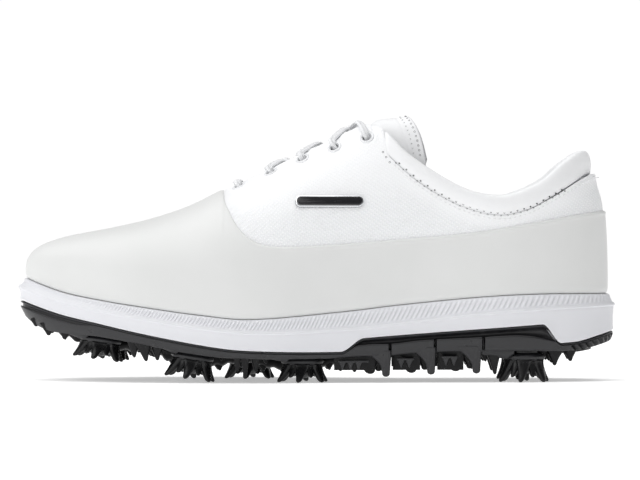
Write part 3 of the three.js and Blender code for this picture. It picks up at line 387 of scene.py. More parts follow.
class Finish:
    """A material whose colour, roughness and relief come from nodes."""

    def __init__(self, name, color, roughness, **inputs):
        self.material = bpy.data.materials.new(name)
        self.material.use_nodes = True
        self.tree = self.material.node_tree
        self.shader = self.tree.nodes["Principled BSDF"]
        self.shader.inputs["Base Color"].default_value = (*color, 1)
        self.shader.inputs["Roughness"].default_value = roughness
        set_inputs(self.shader, **inputs)
        self.relief = None

    def node(self, kind, **settings):
        made = self.tree.nodes.new(kind)
        for key, value in settings.items():
            setattr(made, key, value)
        return made

    def link(self, source, target):
        self.tree.links.new(source, target)

    def mapped(self, source, scale, turn=0.0):
        mapping = self.node("ShaderNodeMapping")
        mapping.inputs["Scale"].default_value = scale
        mapping.inputs["Rotation"].default_value = (0, 0, turn)
        self.link(source, mapping.inputs["Vector"])
        return mapping.outputs["Vector"]

    def flow_place(self):
        return self.node("ShaderNodeAttribute", attribute_name="flow").outputs["Vector"]

    def flow(self, scale=(1, 1, 0), turn=0.0):
        return self.mapped(self.flow_place(), scale, turn)

    def strength(self):
        apart = self.node("ShaderNodeSeparateXYZ")
        self.link(self.flow_place(), apart.inputs[0])
        return apart.outputs["Z"]

    def object_place(self):
        return self.node("ShaderNodeTexCoord").outputs["Object"]

    def place(self, scale=1.0):
        return self.mapped(self.object_place(), (scale / MM,) * 3)

    def noise(self, vector, scale, detail=3.0):
        made = self.node("ShaderNodeTexNoise")
        set_inputs(made, Scale=scale, Detail=detail)
        self.link(vector, made.inputs["Vector"])
        return made.outputs["Fac"]

    def cells(self, vector, scale, random=1.0):
        made = self.node("ShaderNodeTexVoronoi")
        set_inputs(made, Scale=scale, Randomness=random)
        self.link(vector, made.inputs["Vector"])
        return made.outputs["Distance"]

    def math(self, operation, a, b=None):
        made = self.node("ShaderNodeMath", operation=operation)
        for socket, value in zip(made.inputs, (a, b)):
            if isinstance(value, (int, float)):
                socket.default_value = value
            elif value is not None:
                self.link(value, socket)
        return made.outputs[0]

    def spread(self, value, low, high, start=0.0, end=1.0, smooth=False):
        made = self.node("ShaderNodeMapRange")
        if smooth:
            made.interpolation_type = "SMOOTHSTEP"
        set_inputs(made, From_Min=start, From_Max=end, To_Min=low, To_Max=high)
        self.link(value, made.inputs["Value"])
        return made.outputs["Result"]

    def tint(self, factor, color_a, color_b):
        made = self.node("ShaderNodeMix", data_type="RGBA")
        self.link(factor, made.inputs["Factor"])
        made.inputs[6].default_value = (*color_a, 1)
        made.inputs[7].default_value = (*color_b, 1)
        self.link(made.outputs[2], self.shader.inputs["Base Color"])

    def rough(self, factor, low, high, start=0.3, end=0.7):
        roughness = self.spread(factor, low, high, start, end)
        self.link(roughness, self.shader.inputs["Roughness"])

    def bump(self, height, depth, strength=1.0):
        """A relief depth mm deep, over any already there."""
        made = self.node("ShaderNodeBump")
        set_inputs(made, Distance=depth * MM, Strength=strength)
        self.link(height, made.inputs["Height"])
        if self.relief is not None:
            self.link(self.relief, made.inputs["Normal"])
        self.relief = made.outputs["Normal"]
        self.link(self.relief, self.shader.inputs["Normal"])


def fit(piece, finish, body="shoe"):
    """Give a piece its finish, and the body that it moves with where it has one."""
    piece.data.materials.clear()
    piece.data.materials.append(finish.material)
    if body:
        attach(piece, body)
    return piece


def embossed_leather():
    made = Finish("embossed_leather", (0.88, 0.885, 0.895), 0.5, Specular_IOR_Level=0.4)
    spots = made.flow((1, 1, 0), math.radians(38))
    dots = made.spread(made.cells(spots, 1 / 1.55, 0), 1, 0, 0.12, 0.42, True)
    strength = made.strength()
    made.bump(made.math("MULTIPLY", dots, strength), 0.22, 0.9)
    place = made.place()
    grain = made.noise(place, 2.2, 4)
    made.bump(grain, 0.05, 0.5)
    # Painted shade: pale grows in the hollows between the raised dots, and there the colour is painted
    # darker, as far as the emboss is strong.
    pale = made.math("MULTIPLY", made.math("SUBTRACT", 1.0, dots), strength)
    made.tint(made.math("MULTIPLY", pale, 0.45), (0.9, 0.905, 0.915), (0.7, 0.715, 0.74))
    made.rough(grain, 0.42, 0.58)
    return made


EYELETS, EYELET_PITCH, EYELET_FIRST = 5, 16.1, -38.8
EYELET_MARGIN, EYELET_DROP = 8, (0, 0.3, 0.7, 1.3, 2.0)
VAMP_END = EYELET_FIRST - 11.4
THROAT_FRONT = -43.8
QUARTER_WALL, QUARTER_ROUND = 1.2, 1.2
EYELET_HOLE, EYELET_WELL, EYELET_SWELL = 2.15, 5.2, 0.35
THROAT_SEAM, THROAT_SEAM_DEPTH = 3.2, 0.16
eyelet_x = [EYELET_FIRST + i * EYELET_PITCH for i in range(EYELETS)]
eyelet_spread = curve([(eyelet_x[0], 14), (eyelet_x[-1], 18)])
guard_edge = curve([
    (-46.6, 99), (-45.8, 92), (-43.8, 87), (-40.6, 80.8), (-37.2, 76), (-33.4, 72.6),
    (-29.4, 70.2), (-24.5, 68.7), (-18, 68.1), (-8, 68.2), (10, 69.2), (35, 71), (72, 74.2),
    (92, 76.9), (109, 79.9), (130, 83.4), (150, 86.4)])
stitch_line = along([
    (0.18, 128.5), (0.2, 121.5), (0.22, 116.5), (0.29, 106), (0.37, 96.8), (0.48, 88),
    (0.6, 83.4), (0.7, 85.9), (0.78, 91.8), (0.87, 99.4), (0.93, 103.9)])
rim_line = along([
    (0.17, 129), (0.21, 127.6), (0.24, 125.3), (0.29, 117.7), (0.36, 109.8), (0.45, 101.4),
    (0.52, 96.8), (0.61, 94.5), (0.67, 96.4), (0.755, 102.3), (0.84, 111.1), (0.9, 116.1),
    (0.96, 118)])
COLLAR_FRONT = 34.0


def throat_spread(x):
    front = np.clip((np.asarray(x, float) - THROAT_FRONT) / 5, 0, 1)
    return (eyelet_spread(x) - EYELET_MARGIN) * np.sqrt(1 - (1 - front) ** 2)


def quarter_line(x):
    """The quarter's upper edge seen from the side, behind the throat."""
    return mix(rim_line(x), stitch_line(x), step(x, COLLAR_FRONT - 1.4, COLLAR_FRONT + 2.6))


def quarter_top(turn):
    x = turn_x(turn)
    throat = np.where(x < THROAT_FRONT, 1, rise_at_spread(turn, throat_spread(x)))
    return np.minimum(throat, rise_at(turn, quarter_line))


def eyelet_place(index, side):
    """The middle of an eyelet, and the ways into the throat and out of the leather."""
    x, spread = eyelet_x[index], eyelet_spread(eyelet_x[index]) + EYELET_DROP[index]
    point = at_spread(x, side, spread, 0)
    back = at_spread(x + 1, side, spread, 0) - point
    inward = at_spread(x, side, spread - 1, 0) - point
    back /= np.linalg.norm(back)
    normal = np.cross(inward, back) * side
    normal /= np.linalg.norm(normal)
    return point, np.cross(back, normal) * side, normal


def quarter(side, word):
    x = np.r_[np.arange(VAMP_END, -30, 0.55), np.arange(-30, 32, 0.6), np.arange(32, 37, 0.22),
              np.arange(37, 100, 0.8)]
    turns = np.r_[turn_at(x, side), side * even_turns(70, abs(turn_at(100, 1)), 1)]
    low = rise_at(turns, lambda at: np.minimum(guard_edge(at) - 7, 86))
    top = quarter_top(turns)
    shares = np.unique(np.r_[
        np.linspace(0, 0.55, 40)[:-1], np.linspace(0.55, 1, 90)[:-14], 1 - np.linspace(0.07, 0, 26)[1:]])
    rise = low[:, None] + (top - low)[:, None] * shares
    flat = last_point(turns[:, None], rise)
    edge = last_point(turns, top)
    far = 9.0
    gap = np.full(flat.shape[:2], far)
    for shift in range(-10, 11):
        near = np.roll(edge, shift, axis=0)
        away = np.linalg.norm(flat - near[:, None], axis=-1)
        if shift > 0:
            away[:shift] = far
        if shift < 0:
            away[shift:] = far
        gap = np.minimum(gap, away)
    open_edge = (turn_x(turns) > THROAT_FRONT)[:, None]
    fold = 1 - np.sqrt(1 - (1 - np.clip(gap / QUARTER_ROUND, 0, 1)) ** 2)
    deep = np.where(turn_x(turns) > COLLAR_FRONT - 1.5, 0.55, QUARTER_WALL)[:, None]
    lift = -deep * np.where(open_edge, fold, 0)
    seam = np.exp(-((gap - THROAT_SEAM) / 0.5) ** 2) * (turn_x(turns) < 30)[:, None]
    lift -= THROAT_SEAM_DEPTH * np.where(open_edge, seam, 0)
    for index in range(EYELETS):
        centre, _, _ = eyelet_place(index, side)
        away = np.linalg.norm(flat - centre, axis=-1)
        lift -= EYELET_WELL * (1 - step(away, EYELET_HOLE, EYELET_HOLE + 0.6))
        lift += EYELET_SWELL * np.exp(-((away - 4.6) / 1.2) ** 2)
    points = last_point(turns[:, None], rise, lift)
    points[..., 0] -= 1.5 * step(points[..., 0], 116, 140) * step(points[..., 2], 88, 100)
    flow = grid_flow(points, row=0)
    height = flat[..., 2]
    flow[..., 2] = 0.35 + 0.65 * step(gap, 2, 12) * step(104 - height + 0.12 * flat[..., 0], 0, 26)
    piece = grid_object(f"leather_quarter_{word}", points, flow=flow)
    tidy(piece)
    fit(walled(piece, QUARTER_WALL), quarter_finish)
    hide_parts(f"quarter_{word}")


quarter_finish = embossed_leather()
quarter(-1, "lateral")
quarter(1, "medial")

# ---- Vamp, toe puff and heel counter ------------------------------------------------
# The leather over the toes and the two stiffeners moulded to the last. The guard covers
# all three on the outside and the lining on the inside.
def hidden(names, finish):
    for name in names:
        piece = bpy.data.objects[name]
        piece.data.materials.clear()
        piece.data.materials.append(finish.material)


def stiffener_sheet():
    made = Finish("stiffener_sheet", (0.28, 0.28, 0.3), 0.75)
    fibre = made.noise(made.place(), 0.9, 5)
    made.tint(fibre, (0.2, 0.2, 0.21), (0.36, 0.36, 0.38))
    made.bump(fibre, 0.12, 0.6)
    return made


hidden(["vamp"], quarter_finish)
hidden(["toe_puff", "heel_counter"], stiffener_sheet())

# ---- Lining -------------------------------------------------------------------------
# A knitted textile sleeve inside the whole upper, sewn to the quarters at the throat and
# to the foot of the collar.
LINING_INSIDE, LINING_WALL = -4.4, 1.1
LINING_FOOT, LINING_SETBACK = 0.03, 0.8


def knit(name, pale, dark, pitch=0.9):
    made = Finish(name, pale, 0.85, Sheen_Weight=0.25)
    loops = made.cells(made.flow((1 / pitch, 0.75 / pitch, 0), 0.5), 1, 0.15)
    made.bump(loops, 0.25, 0.8)
    made.tint(made.spread(loops, 0, 1, 0.2, 0.7), pale, dark)
    made.bump(made.noise(made.place(), 1.1, 4), 0.12, 0.5)
    return made


def lining():
    sweep = np.arange(-46, 40, 1.0)
    turns = np.unique(np.r_[even_turns(300)[:-1], turn_at(sweep, -1), turn_at(sweep, 1)])
    x = turn_x(turns)
    open_throat = rise_at_spread(turns, throat_spread(x) + LINING_SETBACK)
    throat = np.where(x < THROAT_FRONT, 1, open_throat)
    top = np.minimum(throat, rise_at(turns, lambda at: quarter_line(at) - 1.2))
    rise = LINING_FOOT + (top - LINING_FOOT)[:, None] * eased(40)
    points = last_point(turns[:, None], rise, LINING_INSIDE)
    piece = tidy(grid_object("knit_lining", points, loop_rows=True))
    finish = knit("lining_knit", (0.5, 0.51, 0.53), (0.3, 0.31, 0.33))
    fit(walled(piece, LINING_WALL, 1), finish)
    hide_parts("lining")


lining()

# ---- Collar -------------------------------------------------------------------------
# A foam roll round the ankle, covered in smooth soft leather. Its lower edge turns in at
# the seam with the quarters, and a fine thread shows along that seam.
collar_depth = curve([(COLLAR_FRONT, -LINING_INSIDE), (0.5 * HALF, 7), (HALF, 7)])
# The roll's section: how far up the collar, how proud of the last, and a share of its depth.
ROLL_SECTION = (
    (0.2, -0.75, 0), (0.215, -0.5, 0), (0.27, 0.1, 0), (0.4, 0.85, 0), (0.58, 1.1, 0), (0.75, 0.7, 0),
    (0.89, -0.35, 0), (0.975, -0.4, 0.3), (1.0, 0, 0.55), (0.94, 0, 0.82), (0.76, 0, 0.98),
    (0.5, 0, 1.02), (0.3, 0, 0.95), (0.21, 0, 0.75), (0.18, -1.0, 0.3))
STITCH_PITCH, STITCH_LENGTH, THREAD_RADIUS = 2.6, 1.7, 0.22


def round_through(loop, count):
    """A smooth closed loop through points, as a (count, ...) array."""
    loop = np.asarray(loop, float)
    places = np.arange(count) * len(loop) / count
    i = places.astype(int)
    a = (places - i).reshape((-1,) + (1,) * (loop.ndim - 1))
    p = [loop[(i + k) % len(loop)] for k in (-1, 0, 1, 2)]
    return 0.5 * (2 * p[1] + (p[2] - p[0]) * a + (2 * p[0] - 5 * p[1] + 4 * p[2] - p[3]) * a ** 2
                  + (3 * p[1] - p[0] - 3 * p[2] + p[3]) * a ** 3)


def soft_leather(name="soft_leather"):
    made = Finish(name, (0.84, 0.845, 0.855), 0.48, Specular_IOR_Level=0.42)
    place = made.place()
    crease = made.noise(place, 0.35, 4)
    grain = made.cells(place, 1.6)
    made.bump(crease, 0.35, 0.3)
    made.bump(grain, 0.06, 0.45)
    made.tint(crease, (0.82, 0.825, 0.84), (0.86, 0.865, 0.87))
    made.rough(crease, 0.42, 0.56)
    return made


def collar_turns():
    front = np.arange(COLLAR_FRONT - 3.5, COLLAR_FRONT + 4, 0.4)
    x = np.r_[front, np.arange(COLLAR_FRONT + 4, 100, 1.2)]
    half = np.r_[turn_at(x, 1), even_turns(60, turn_at(100, 1), 1)]
    return np.r_[half, 2 - half[::-1][1:]]


def collar():
    places = collar_turns()
    turns = (places + 1) % 2 - 1
    low = rise_at(turns, lambda at: stitch_line(at) - 3)
    high = rise_at(turns, rim_line)
    x = turn_x(turns)
    depth = -collar_depth(x)
    front = step(x, COLLAR_FRONT - 2, COLLAR_FRONT + 9)
    puff = 1 + 0.12 * np.sin(x / 11) * step(x, 40, 70)
    loops = []
    for up, proud, deep in ROLL_SECTION:
        tuck = 1.25 * (1 - step(x, COLLAR_FRONT - 1, COLLAR_FRONT + 2.5))
        lift = proud * mix(0.25, 1, front) * puff + depth * deep * mix(0.7, 1, front) - tuck
        loops.append(last_point(turns, mix(low, high, up), lift))
    points = round_through(loops, 72).transpose(1, 0, 2)
    points[..., 0] -= step(points[..., 0], 104, 138) * (1.2 + 2.6 * step(points[..., 2], 97, 107))
    piece = grid_object("collar_roll", points, loop_columns=True, caps=True)
    tidy(piece)
    fit(piece, collar_finish)
    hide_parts("collar")


collar_finish = soft_leather()
collar()


def length_along(path):
    """How far along a path each of its points lies."""
    return np.r_[0, np.cumsum(np.linalg.norm(np.diff(path, axis=0), axis=1))]


def point_along(path, travelled, at):
    return np.stack([np.interp(at, travelled, path[:, k]) for k in range(3)], -1)


def stitches(name, path, normals, finish):
    """Short lengths of thread that lie end to end along a path."""
    travelled = length_along(path)
    ring_count, sides = 5, 6
    parts = []
    for start in np.arange(STITCH_PITCH / 2, travelled[-1] - STITCH_PITCH, STITCH_PITCH):
        at = start + np.linspace(0, STITCH_LENGTH, ring_count)
        spine = point_along(path, travelled, at)
        out = point_along(normals, travelled, at)
        out /= np.linalg.norm(out, axis=1, keepdims=True)
        ahead = (spine[-1] - spine[0]) / np.linalg.norm(spine[-1] - spine[0])
        side = np.cross(ahead, out)
        swell = np.array([0.35, 0.95, 1, 0.95, 0.35])[:, None, None] * THREAD_RADIUS
        dip = np.array([-1.2, 0.1, 0.35, 0.1, -1.2])[:, None] * THREAD_RADIUS
        around = circle(sides)
        rings = (spine + out * dip)[:, None] + swell * (
            side[:, None] * np.cos(around)[None, :, None] + out[:, None] * np.sin(around)[None, :, None])
        parts.append(loft(rings))
    return fit(tidy(joined(name, parts), 0.0005), finish)


def loft(sections):
    """A closed form through rings of (points, 3), capped at both ends."""
    rings = np.array(sections)
    levels, count = rings.shape[:2]
    faces = grid_faces(levels, count, loop_columns=True).tolist()
    faces += [list(range(count))[::-1], [(levels - 1) * count + k for k in range(count)]]
    return rings, faces


def sewing_thread():
    made = Finish("sewing_thread", (0.8, 0.8, 0.81), 0.6)
    twist = made.noise(made.place(), 6, 2)
    made.tint(twist, (0.7, 0.7, 0.72), (0.85, 0.85, 0.86))
    made.bump(twist, 0.05, 0.6)
    return made


def skin_normals(turns, rise, lift):
    along_turn = last_point(turns + 0.001, rise, lift) - last_point(turns - 0.001, rise, lift)
    up = last_point(turns, rise + 0.002, lift) - last_point(turns, rise - 0.002, lift)
    normals = np.cross(up, along_turn)
    normals /= np.linalg.norm(normals, axis=1, keepdims=True)
    outward = last_point(turns, rise, lift + 1) - last_point(turns, rise, lift)
    return normals * np.sign((normals * outward).sum(1))[:, None]


thread = sewing_thread()


def seam_on_skin(name, turns, line, lift):
    rise = rise_at(turns, line)
    path, normals = last_point(turns, rise, lift), skin_normals(turns, rise, lift)
    stitches(name, path, normals, thread)


seam_turns = (collar_turns()[16:-16] + 1) % 2 - 1
seam_on_skin("collar_seam", seam_turns, lambda at: stitch_line(at) - 2.1, 0.02)

# ---- Tongue -------------------------------------------------------------------------
# A padded flap under the throat. The body is sewn under the vamp, and its free top, above
# the last eyelets, folds forward. Two rows of holes follow the top edge.
TONGUE_PAD, TONGUE_FRONT, TONGUE_TOP = 4.6, VAMP_END - 10, 0.315 * HALF
TONGUE_SWEEP, WING_DROP = 8.8, 2.2
LACE_RADIUS, LACE_WIDE, LACE_THICK, GAP = 1.35, 1.8, 1.0, 0.3
tongue_spread = curve([(VAMP_END, 17), (eyelet_x[-1], 19), (0.35 * HALF, 14)])
TONGUE_SEWN = LINING_INSIDE - 0.4
TONGUE_FREE = LINING_INSIDE - 1.3 * (2 * LACE_RADIUS + 2 * GAP)
tongue_roll = curve([(18, 0), (24, 3.2), (30, 5.4), (38, 4), (48, 2.6)])
# Rows of holes in the tongue: setback from its top, radius, pitch and offset along the row.
HOLE_ROWS = ((2.5, 0.5, 2.5, 0), (5.2, 0.3, 2.5, 1.25))
# A hole's section: a share of its radius, and a height as a share of its depth plus its lip.
HOLE_SECTION = ((0.02, 0.5, 0), (0.8, 0.35, 0), (1.0, 0, 0.05), (0.9, 0, 0.1), (0.72, 0, 0.02),
                (0.6, 0.2, 0), (0.02, 0.25, 0))
COLLAR_FRONT_HOLES = ((33.6, 114.6), (35.2, 112.0), (37.0, 109.5))


def tongue_point(x, across, depth):
    share = np.abs(across)
    station = x + TONGUE_SWEEP * share ** 2 * step(x, TONGUE_FRONT, TONGUE_TOP)
    free = step(x, VAMP_END - 5, eyelet_x[0] - 3)
    lift = mix(TONGUE_SEWN, TONGUE_FREE - WING_DROP * share ** 2, free) - depth
    side = np.where(across < 0, -1, 1)
    return at_spread(station, side, tongue_spread(x) * share, lift)


def tongue_skin(x, across, thick):
    """The tongue's surface: thick is 1 over the top and -1 underneath."""
    end = np.clip((TONGUE_TOP - x) / 2.2, 0, 1)
    round_end = np.sqrt(1 - (1 - end) ** 2)
    swell = 0.35 * step(x, 25, 40) * np.cos(np.pi / 2 * across) ** 2 * (thick > 0)
    piping = 0.4 * np.exp(-((TONGUE_TOP - x - 7) / 0.8) ** 2) * (thick > 0.5)
    rise = tongue_roll(x) * np.clip(1 - np.abs(across) ** 2.4, 0, 1) * step(x, 18, 24)
    depth = TONGUE_PAD / 2 * (1 - thick * round_end) - swell + piping - rise
    return tongue_point(x, across * 0.999, depth)


def tongue():
    stations = np.r_[np.linspace(TONGUE_FRONT, 20, 70)[:-1], np.linspace(20, TONGUE_TOP, 90)]
    around = circle(72)
    across = np.cos(around)
    across = np.sign(across) * np.abs(across) ** 0.75
    thick = np.sin(around)
    thick = np.sign(thick) * np.abs(thick) ** 0.6
    points = tongue_skin(stations[:, None], across, thick)
    piece = grid_object("tongue", points, loop_columns=True, caps=True)
    tidy(piece)
    fit(piece, tongue_finish, None)
    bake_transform(piece)
    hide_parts("tongue_body", "tongue_top")


tongue_finish = soft_leather("tongue_leather")
tongue()


def lathe(profile, centre, out, count=36, closed=False):
    """A form turned about a line: profile holds (radius, height) pairs."""
    helper = np.array([0, 1.0, 0]) if abs(out[1]) < 0.8 else np.array([1.0, 0, 0])
    a = np.cross(out, helper)
    a /= np.linalg.norm(a)
    b = np.cross(out, a)
    angle = circle(count)
    way = a * np.cos(angle)[:, None] + b * np.sin(angle)[:, None]
    rings = np.array([centre + way * r + out * h for r, h in profile])
    return rings, grid_faces(len(profile), count, closed, True).tolist()


def cup(centre, normal, radius, depth, count=14):
    """A shallow cup with a rolled lip; the near-black paint on it is painted shade for the depth of a
    hole.
    """
    profile = [(share * radius, lip - deep * depth) for share, deep, lip in HOLE_SECTION]
    return lathe(profile, centre, normal, count)


# Painted shade: near black with a faint random mottle, for the inside of a punched hole that is only a
# shallow cup.
def painted_hole_shade():
    made = Finish("perforation_painted_shade", (0.02, 0.02, 0.022), 0.9)
    shade_mottle = made.noise(made.place(), 3, 2)
    made.tint(shade_mottle, (0.012, 0.012, 0.014), (0.05, 0.05, 0.055))
    return made


def tongue_top(x, share):
    thick = np.sqrt(1 - np.abs(share) ** (2 / 0.75)) ** 0.6
    return tongue_skin(x, share, thick)


def tongue_holes():
    parts = []
    for setback, radius, pitch, offset in HOLE_ROWS:
        share = np.linspace(-0.97, 0.97, 300)
        x = np.full(300, TONGUE_TOP - setback)
        row = tongue_top(x, share)
        normal = np.cross(tongue_top(x + 0.4, share) - row, tongue_top(x, share + 0.01) - row)
        normal /= np.linalg.norm(normal, axis=1, keepdims=True)
        normal *= np.sign(normal[:, 2:])
        travelled = length_along(row)
        for at in np.arange(1 + offset, travelled[-1] - 1, pitch):
            centre = point_along(row, travelled, at)
            out = point_along(normal, travelled, at)
            parts.append(cup(centre, out / np.linalg.norm(out), radius, 0.8))
    piece = joined("tongue_holes", parts)
    fit(piece, hole_shade_finish, "tongue_flap")


def seam_holes():
    """Two rows of small holes along the collar's seam, and three larger ones at its front."""
    parts = []

    def punch(x, side, line, lift, radius, count):
        turns = turn_at(np.array([x]), side)
        rise = rise_at(turns, line)
        normal = skin_normals(turns, rise, 0.0)[0]
        parts.append(cup(last_point(turns, rise, lift)[0], normal, radius, 0.6, count))

    for side in (-1, 1):
        for i, x in enumerate(np.arange(COLLAR_FRONT + 6, 128, 1.75)):
            shift, lift = (0.9, 0.1) if i % 2 else (-0.5, -0.1)
            punch(x, side, lambda at: stitch_line(at) + shift, lift, 0.42, 10)
        for x, z in COLLAR_FRONT_HOLES:
            punch(x, side, lambda _: z, 0.02, 0.5, 12)
    fit(joined("seam_holes", parts), hole_shade_finish)


hole_shade_finish = painted_hole_shade()
tongue_holes()
seam_holes()

# ---- Eyelets ------------------------------------------------------------------------
# Five soft-coated rings a side. Each has a round flange on the leather and a barrel that is
# closed through quarter and lining.
RING_PROFILE = (
    (2.25, -4.0), (2.25, -0.6), (2.32, 0.15), (2.6, 0.5), (3.0, 0.62), (3.4, 0.48), (3.75, 0.18),
    (3.85, -0.1), (2.8, -0.6), (2.75, -4.0))
SIDES = ((-1, "lateral"), (1, "medial"))


def eyelets():
    for side, word in SIDES:
        for index in range(EYELETS):
            centre, _, out = eyelet_place(index, side)
            ring = lathe(RING_PROFILE, centre, out, closed=True)
            piece = tidy(joined(f"ring_{word}_{index + 1}", [ring]), 0.0005)
            fit(piece, eyelet_finish)
            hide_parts(f"eyelet_{word}_{index + 1}")


def eyelet_coat():
    made = Finish("eyelet_coat", (0.76, 0.77, 0.785), 0.4)
    wear = made.noise(made.place(), 0.8, 4)
    made.tint(wear, (0.7, 0.71, 0.73), (0.82, 0.825, 0.83))
    made.rough(wear, 0.32, 0.5)
    made.bump(wear, 0.05, 0.4)
    return made


eyelet_finish = eyelet_coat()
eyelets()

# ---- Moulded guard ------------------------------------------------------------------
# A smooth coated leather shell, heat moulded and glued over the toe, both sides and the heel.
# Its upper edge is a soft round step that stands proud of the quarter.
GUARD_LIFT, GUARD_FRONT = 1.15, -46.6
GUARD_ROUND, GUARD_SOFT_ROUND, GUARD_TUCK = 1.6, 3.8, 0.9
GUARD_SETTLE, GUARD_BEAD, GUARD_WALL = 0.35, 0.25, 0.8


def distance_to(points, line, low, high, count=700):
    """How far each point is from a line seen from the side."""
    x = np.r_[np.linspace(low, low + 14, count // 2), np.linspace(low + 14, high, count // 2)]
    edge = np.stack([x, line(x)], -1)
    flat = points[..., [0, 2]].reshape(-1, 2)
    batch = 4000
    nearest = [np.linalg.norm(flat[k:k + batch, None] - edge[None], axis=-1).min(1)
               for k in range(0, len(flat), batch)]
    return np.concatenate(nearest).reshape(points.shape[:-1])


def coated_leather():
    made = Finish("coated_leather", (0.80, 0.81, 0.805), 0.42, Specular_IOR_Level=0.45)
    place = made.place()
    fine, broad = made.noise(place, 1.6, 5), made.noise(place, 0.03, 2)
    tone = made.spread(broad, 0, 1, 0.3, 0.7)
    made.tint(tone, (0.69, 0.698, 0.69), (0.715, 0.72, 0.715))
    made.rough(fine, 0.38, 0.5)
    made.bump(broad, 0.5, 0.3)
    made.bump(made.cells(place, 1.3), 0.05, 0.3)
    made.bump(fine, 0.04, 0.35)
    return made


def guard():
    sweep = np.arange(GUARD_FRONT, -26, 0.35)
    turns = np.unique(np.r_[even_turns(520)[:-1], turn_at(sweep, -1), turn_at(sweep, 1)])
    top = np.where(turn_x(turns) <= GUARD_FRONT, 1.0, rise_at(turns, guard_edge, GUARD_LIFT))
    rise = top[:, None] * eased(64)
    flat = last_point(turns[:, None], rise, GUARD_LIFT)
    gap = distance_to(flat, guard_edge, GUARD_FRONT, HALF + 4)
    behind = step(flat[..., 0], -45, -24)
    radius = mix(GUARD_SOFT_ROUND, GUARD_ROUND, behind)
    round_over = np.sqrt(1 - (1 - np.clip(gap / radius, 0, 1)) ** 2)
    round_over = np.where(flat[..., 0] < GUARD_FRONT - 6, 1, round_over)
    bead = GUARD_BEAD * np.exp(-((gap - GUARD_ROUND) / 0.9) ** 2) * behind
    above = flat[..., 2] - feather_height(turn_x(turns))[:, None]
    tuck = (1 - np.clip(above / 3.0, 0, 1)) ** 2
    lift = -GUARD_SETTLE + (GUARD_LIFT + GUARD_SETTLE) * round_over + bead - GUARD_TUCK * tuck
    piece = grid_object("guard", last_point(turns[:, None], rise, lift), loop_rows=True)
    tidy(piece)
    fit(walled(piece, GUARD_WALL), coated_leather())
    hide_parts("overlay_guard")


guard()

# ---- Side badges --------------------------------------------------------------------
# A slim plain bar on each side: a bright metal rim that is stuck to the quarter, with a
# glossy black inlay pressed into it.
BADGE_X, BADGE_HEIGHT, BADGE_LENGTH, BADGE_BREADTH = 7, 89.5, 34, 5.4
BADGE_SIDES, INLAY_INSET = 96, 0.75


def badge_part(side, shrink, low, high):
    """A round-ended bar that lies along the leather, from one lift to another."""
    reach, radius = BADGE_LENGTH / 2 - BADGE_BREADTH / 2, BADGE_BREADTH / 2 - shrink
    angle = circle(BADGE_SIDES)
    s = np.where(np.cos(angle) >= 0, reach, -reach) + radius * np.cos(angle)
    t = radius * np.sin(angle)
    rings = []
    levels = ((0.0, 0), (0.7, 0), (1.0, 0), (1.0, 0.7), (0.95, 0.93), (0.86, 1), (0.5, 1), (0.0, 1))
    for scale, share in levels:
        middle = np.clip(s, -reach, reach)
        x = BADGE_X + (middle + (s - middle) * scale) * min(1, 0.02 + scale * 4)
        height = BADGE_HEIGHT + t * scale
        turns = turn_at(x, side)
        rings.append(last_point(turns, rise_at(turns, lambda _: height), mix(low, high, share)))
    rings = np.array(rings)
    return rings, grid_faces(len(rings), BADGE_SIDES, loop_columns=True).tolist()


def metal(name, color, roughness, metallic):
    made = Finish(name, color, roughness, Metallic=metallic)
    brushed = made.noise(made.mapped(made.object_place(), (200, 200, 3000)), 1, 3)
    made.rough(brushed, roughness * 0.7, roughness * 1.4)
    made.tint(brushed, color, tuple(c * 0.85 for c in color))
    made.bump(brushed, 0.02, 0.3)
    return made


def badges():
    chrome = metal("bright_metal", (0.72, 0.73, 0.75), 0.16, 1.0)
    black = metal("black_inlay", (0.012, 0.012, 0.014), 0.2, 0.0)
    for side, word in SIDES:
        rim = tidy(joined(f"badge_{word}_rim", [badge_part(side, 0, 0.35, 1.35)]), 0.001)
        fit(rim, chrome)
        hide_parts(f"badge_{word}")
        inlay = tidy(joined(f"badge_{word}_inlay", [badge_part(side, INLAY_INSET, 0.9, 1.75)]), 0.001)
        fit(inlay, black)


badges()

# ---- Rand ---------------------------------------------------------------------------
# A moulded foam strip cemented round the foot of the upper. Fine slanting ribs run along
# its hollow face, and a plain bead stands out below them.
RIB_HEIGHT, RIB_SLANT = 0.5, 0.55
rib_pitch = curve([(-150, 1.7), (-20, 1.9), (60, 2.5), (150, 3.1)])
RAND_NOSE = 1.6


def sole_loop(turns, section):
    """Rings round the sole: section holds (inset, height) pairs. A height may depend on X."""
    rings = []
    for inset, height in section:
        plan = inset_point(turns, np.zeros(len(turns)) + inset)
        height = height(plan[:, 0]) if callable(height) else height
        rings.append(np.concatenate([plan, (np.zeros(len(turns)) + height)[:, None]], 1))
    return np.stack(rings, 1)


def moulded_foam(name, color):
    made = Finish(name, color, 0.42, Specular_IOR_Level=0.4)
    place = made.place()
    skin, scuff = made.noise(place, 1.4, 5), made.noise(place, 0.05, 3)
    made.tint(scuff, tuple(c * 0.965 for c in color), color)
    made.rough(skin, 0.36, 0.5)
    made.bump(skin, 0.035, 0.5)
    made.bump(scuff, 0.3, 0.2)
    return made


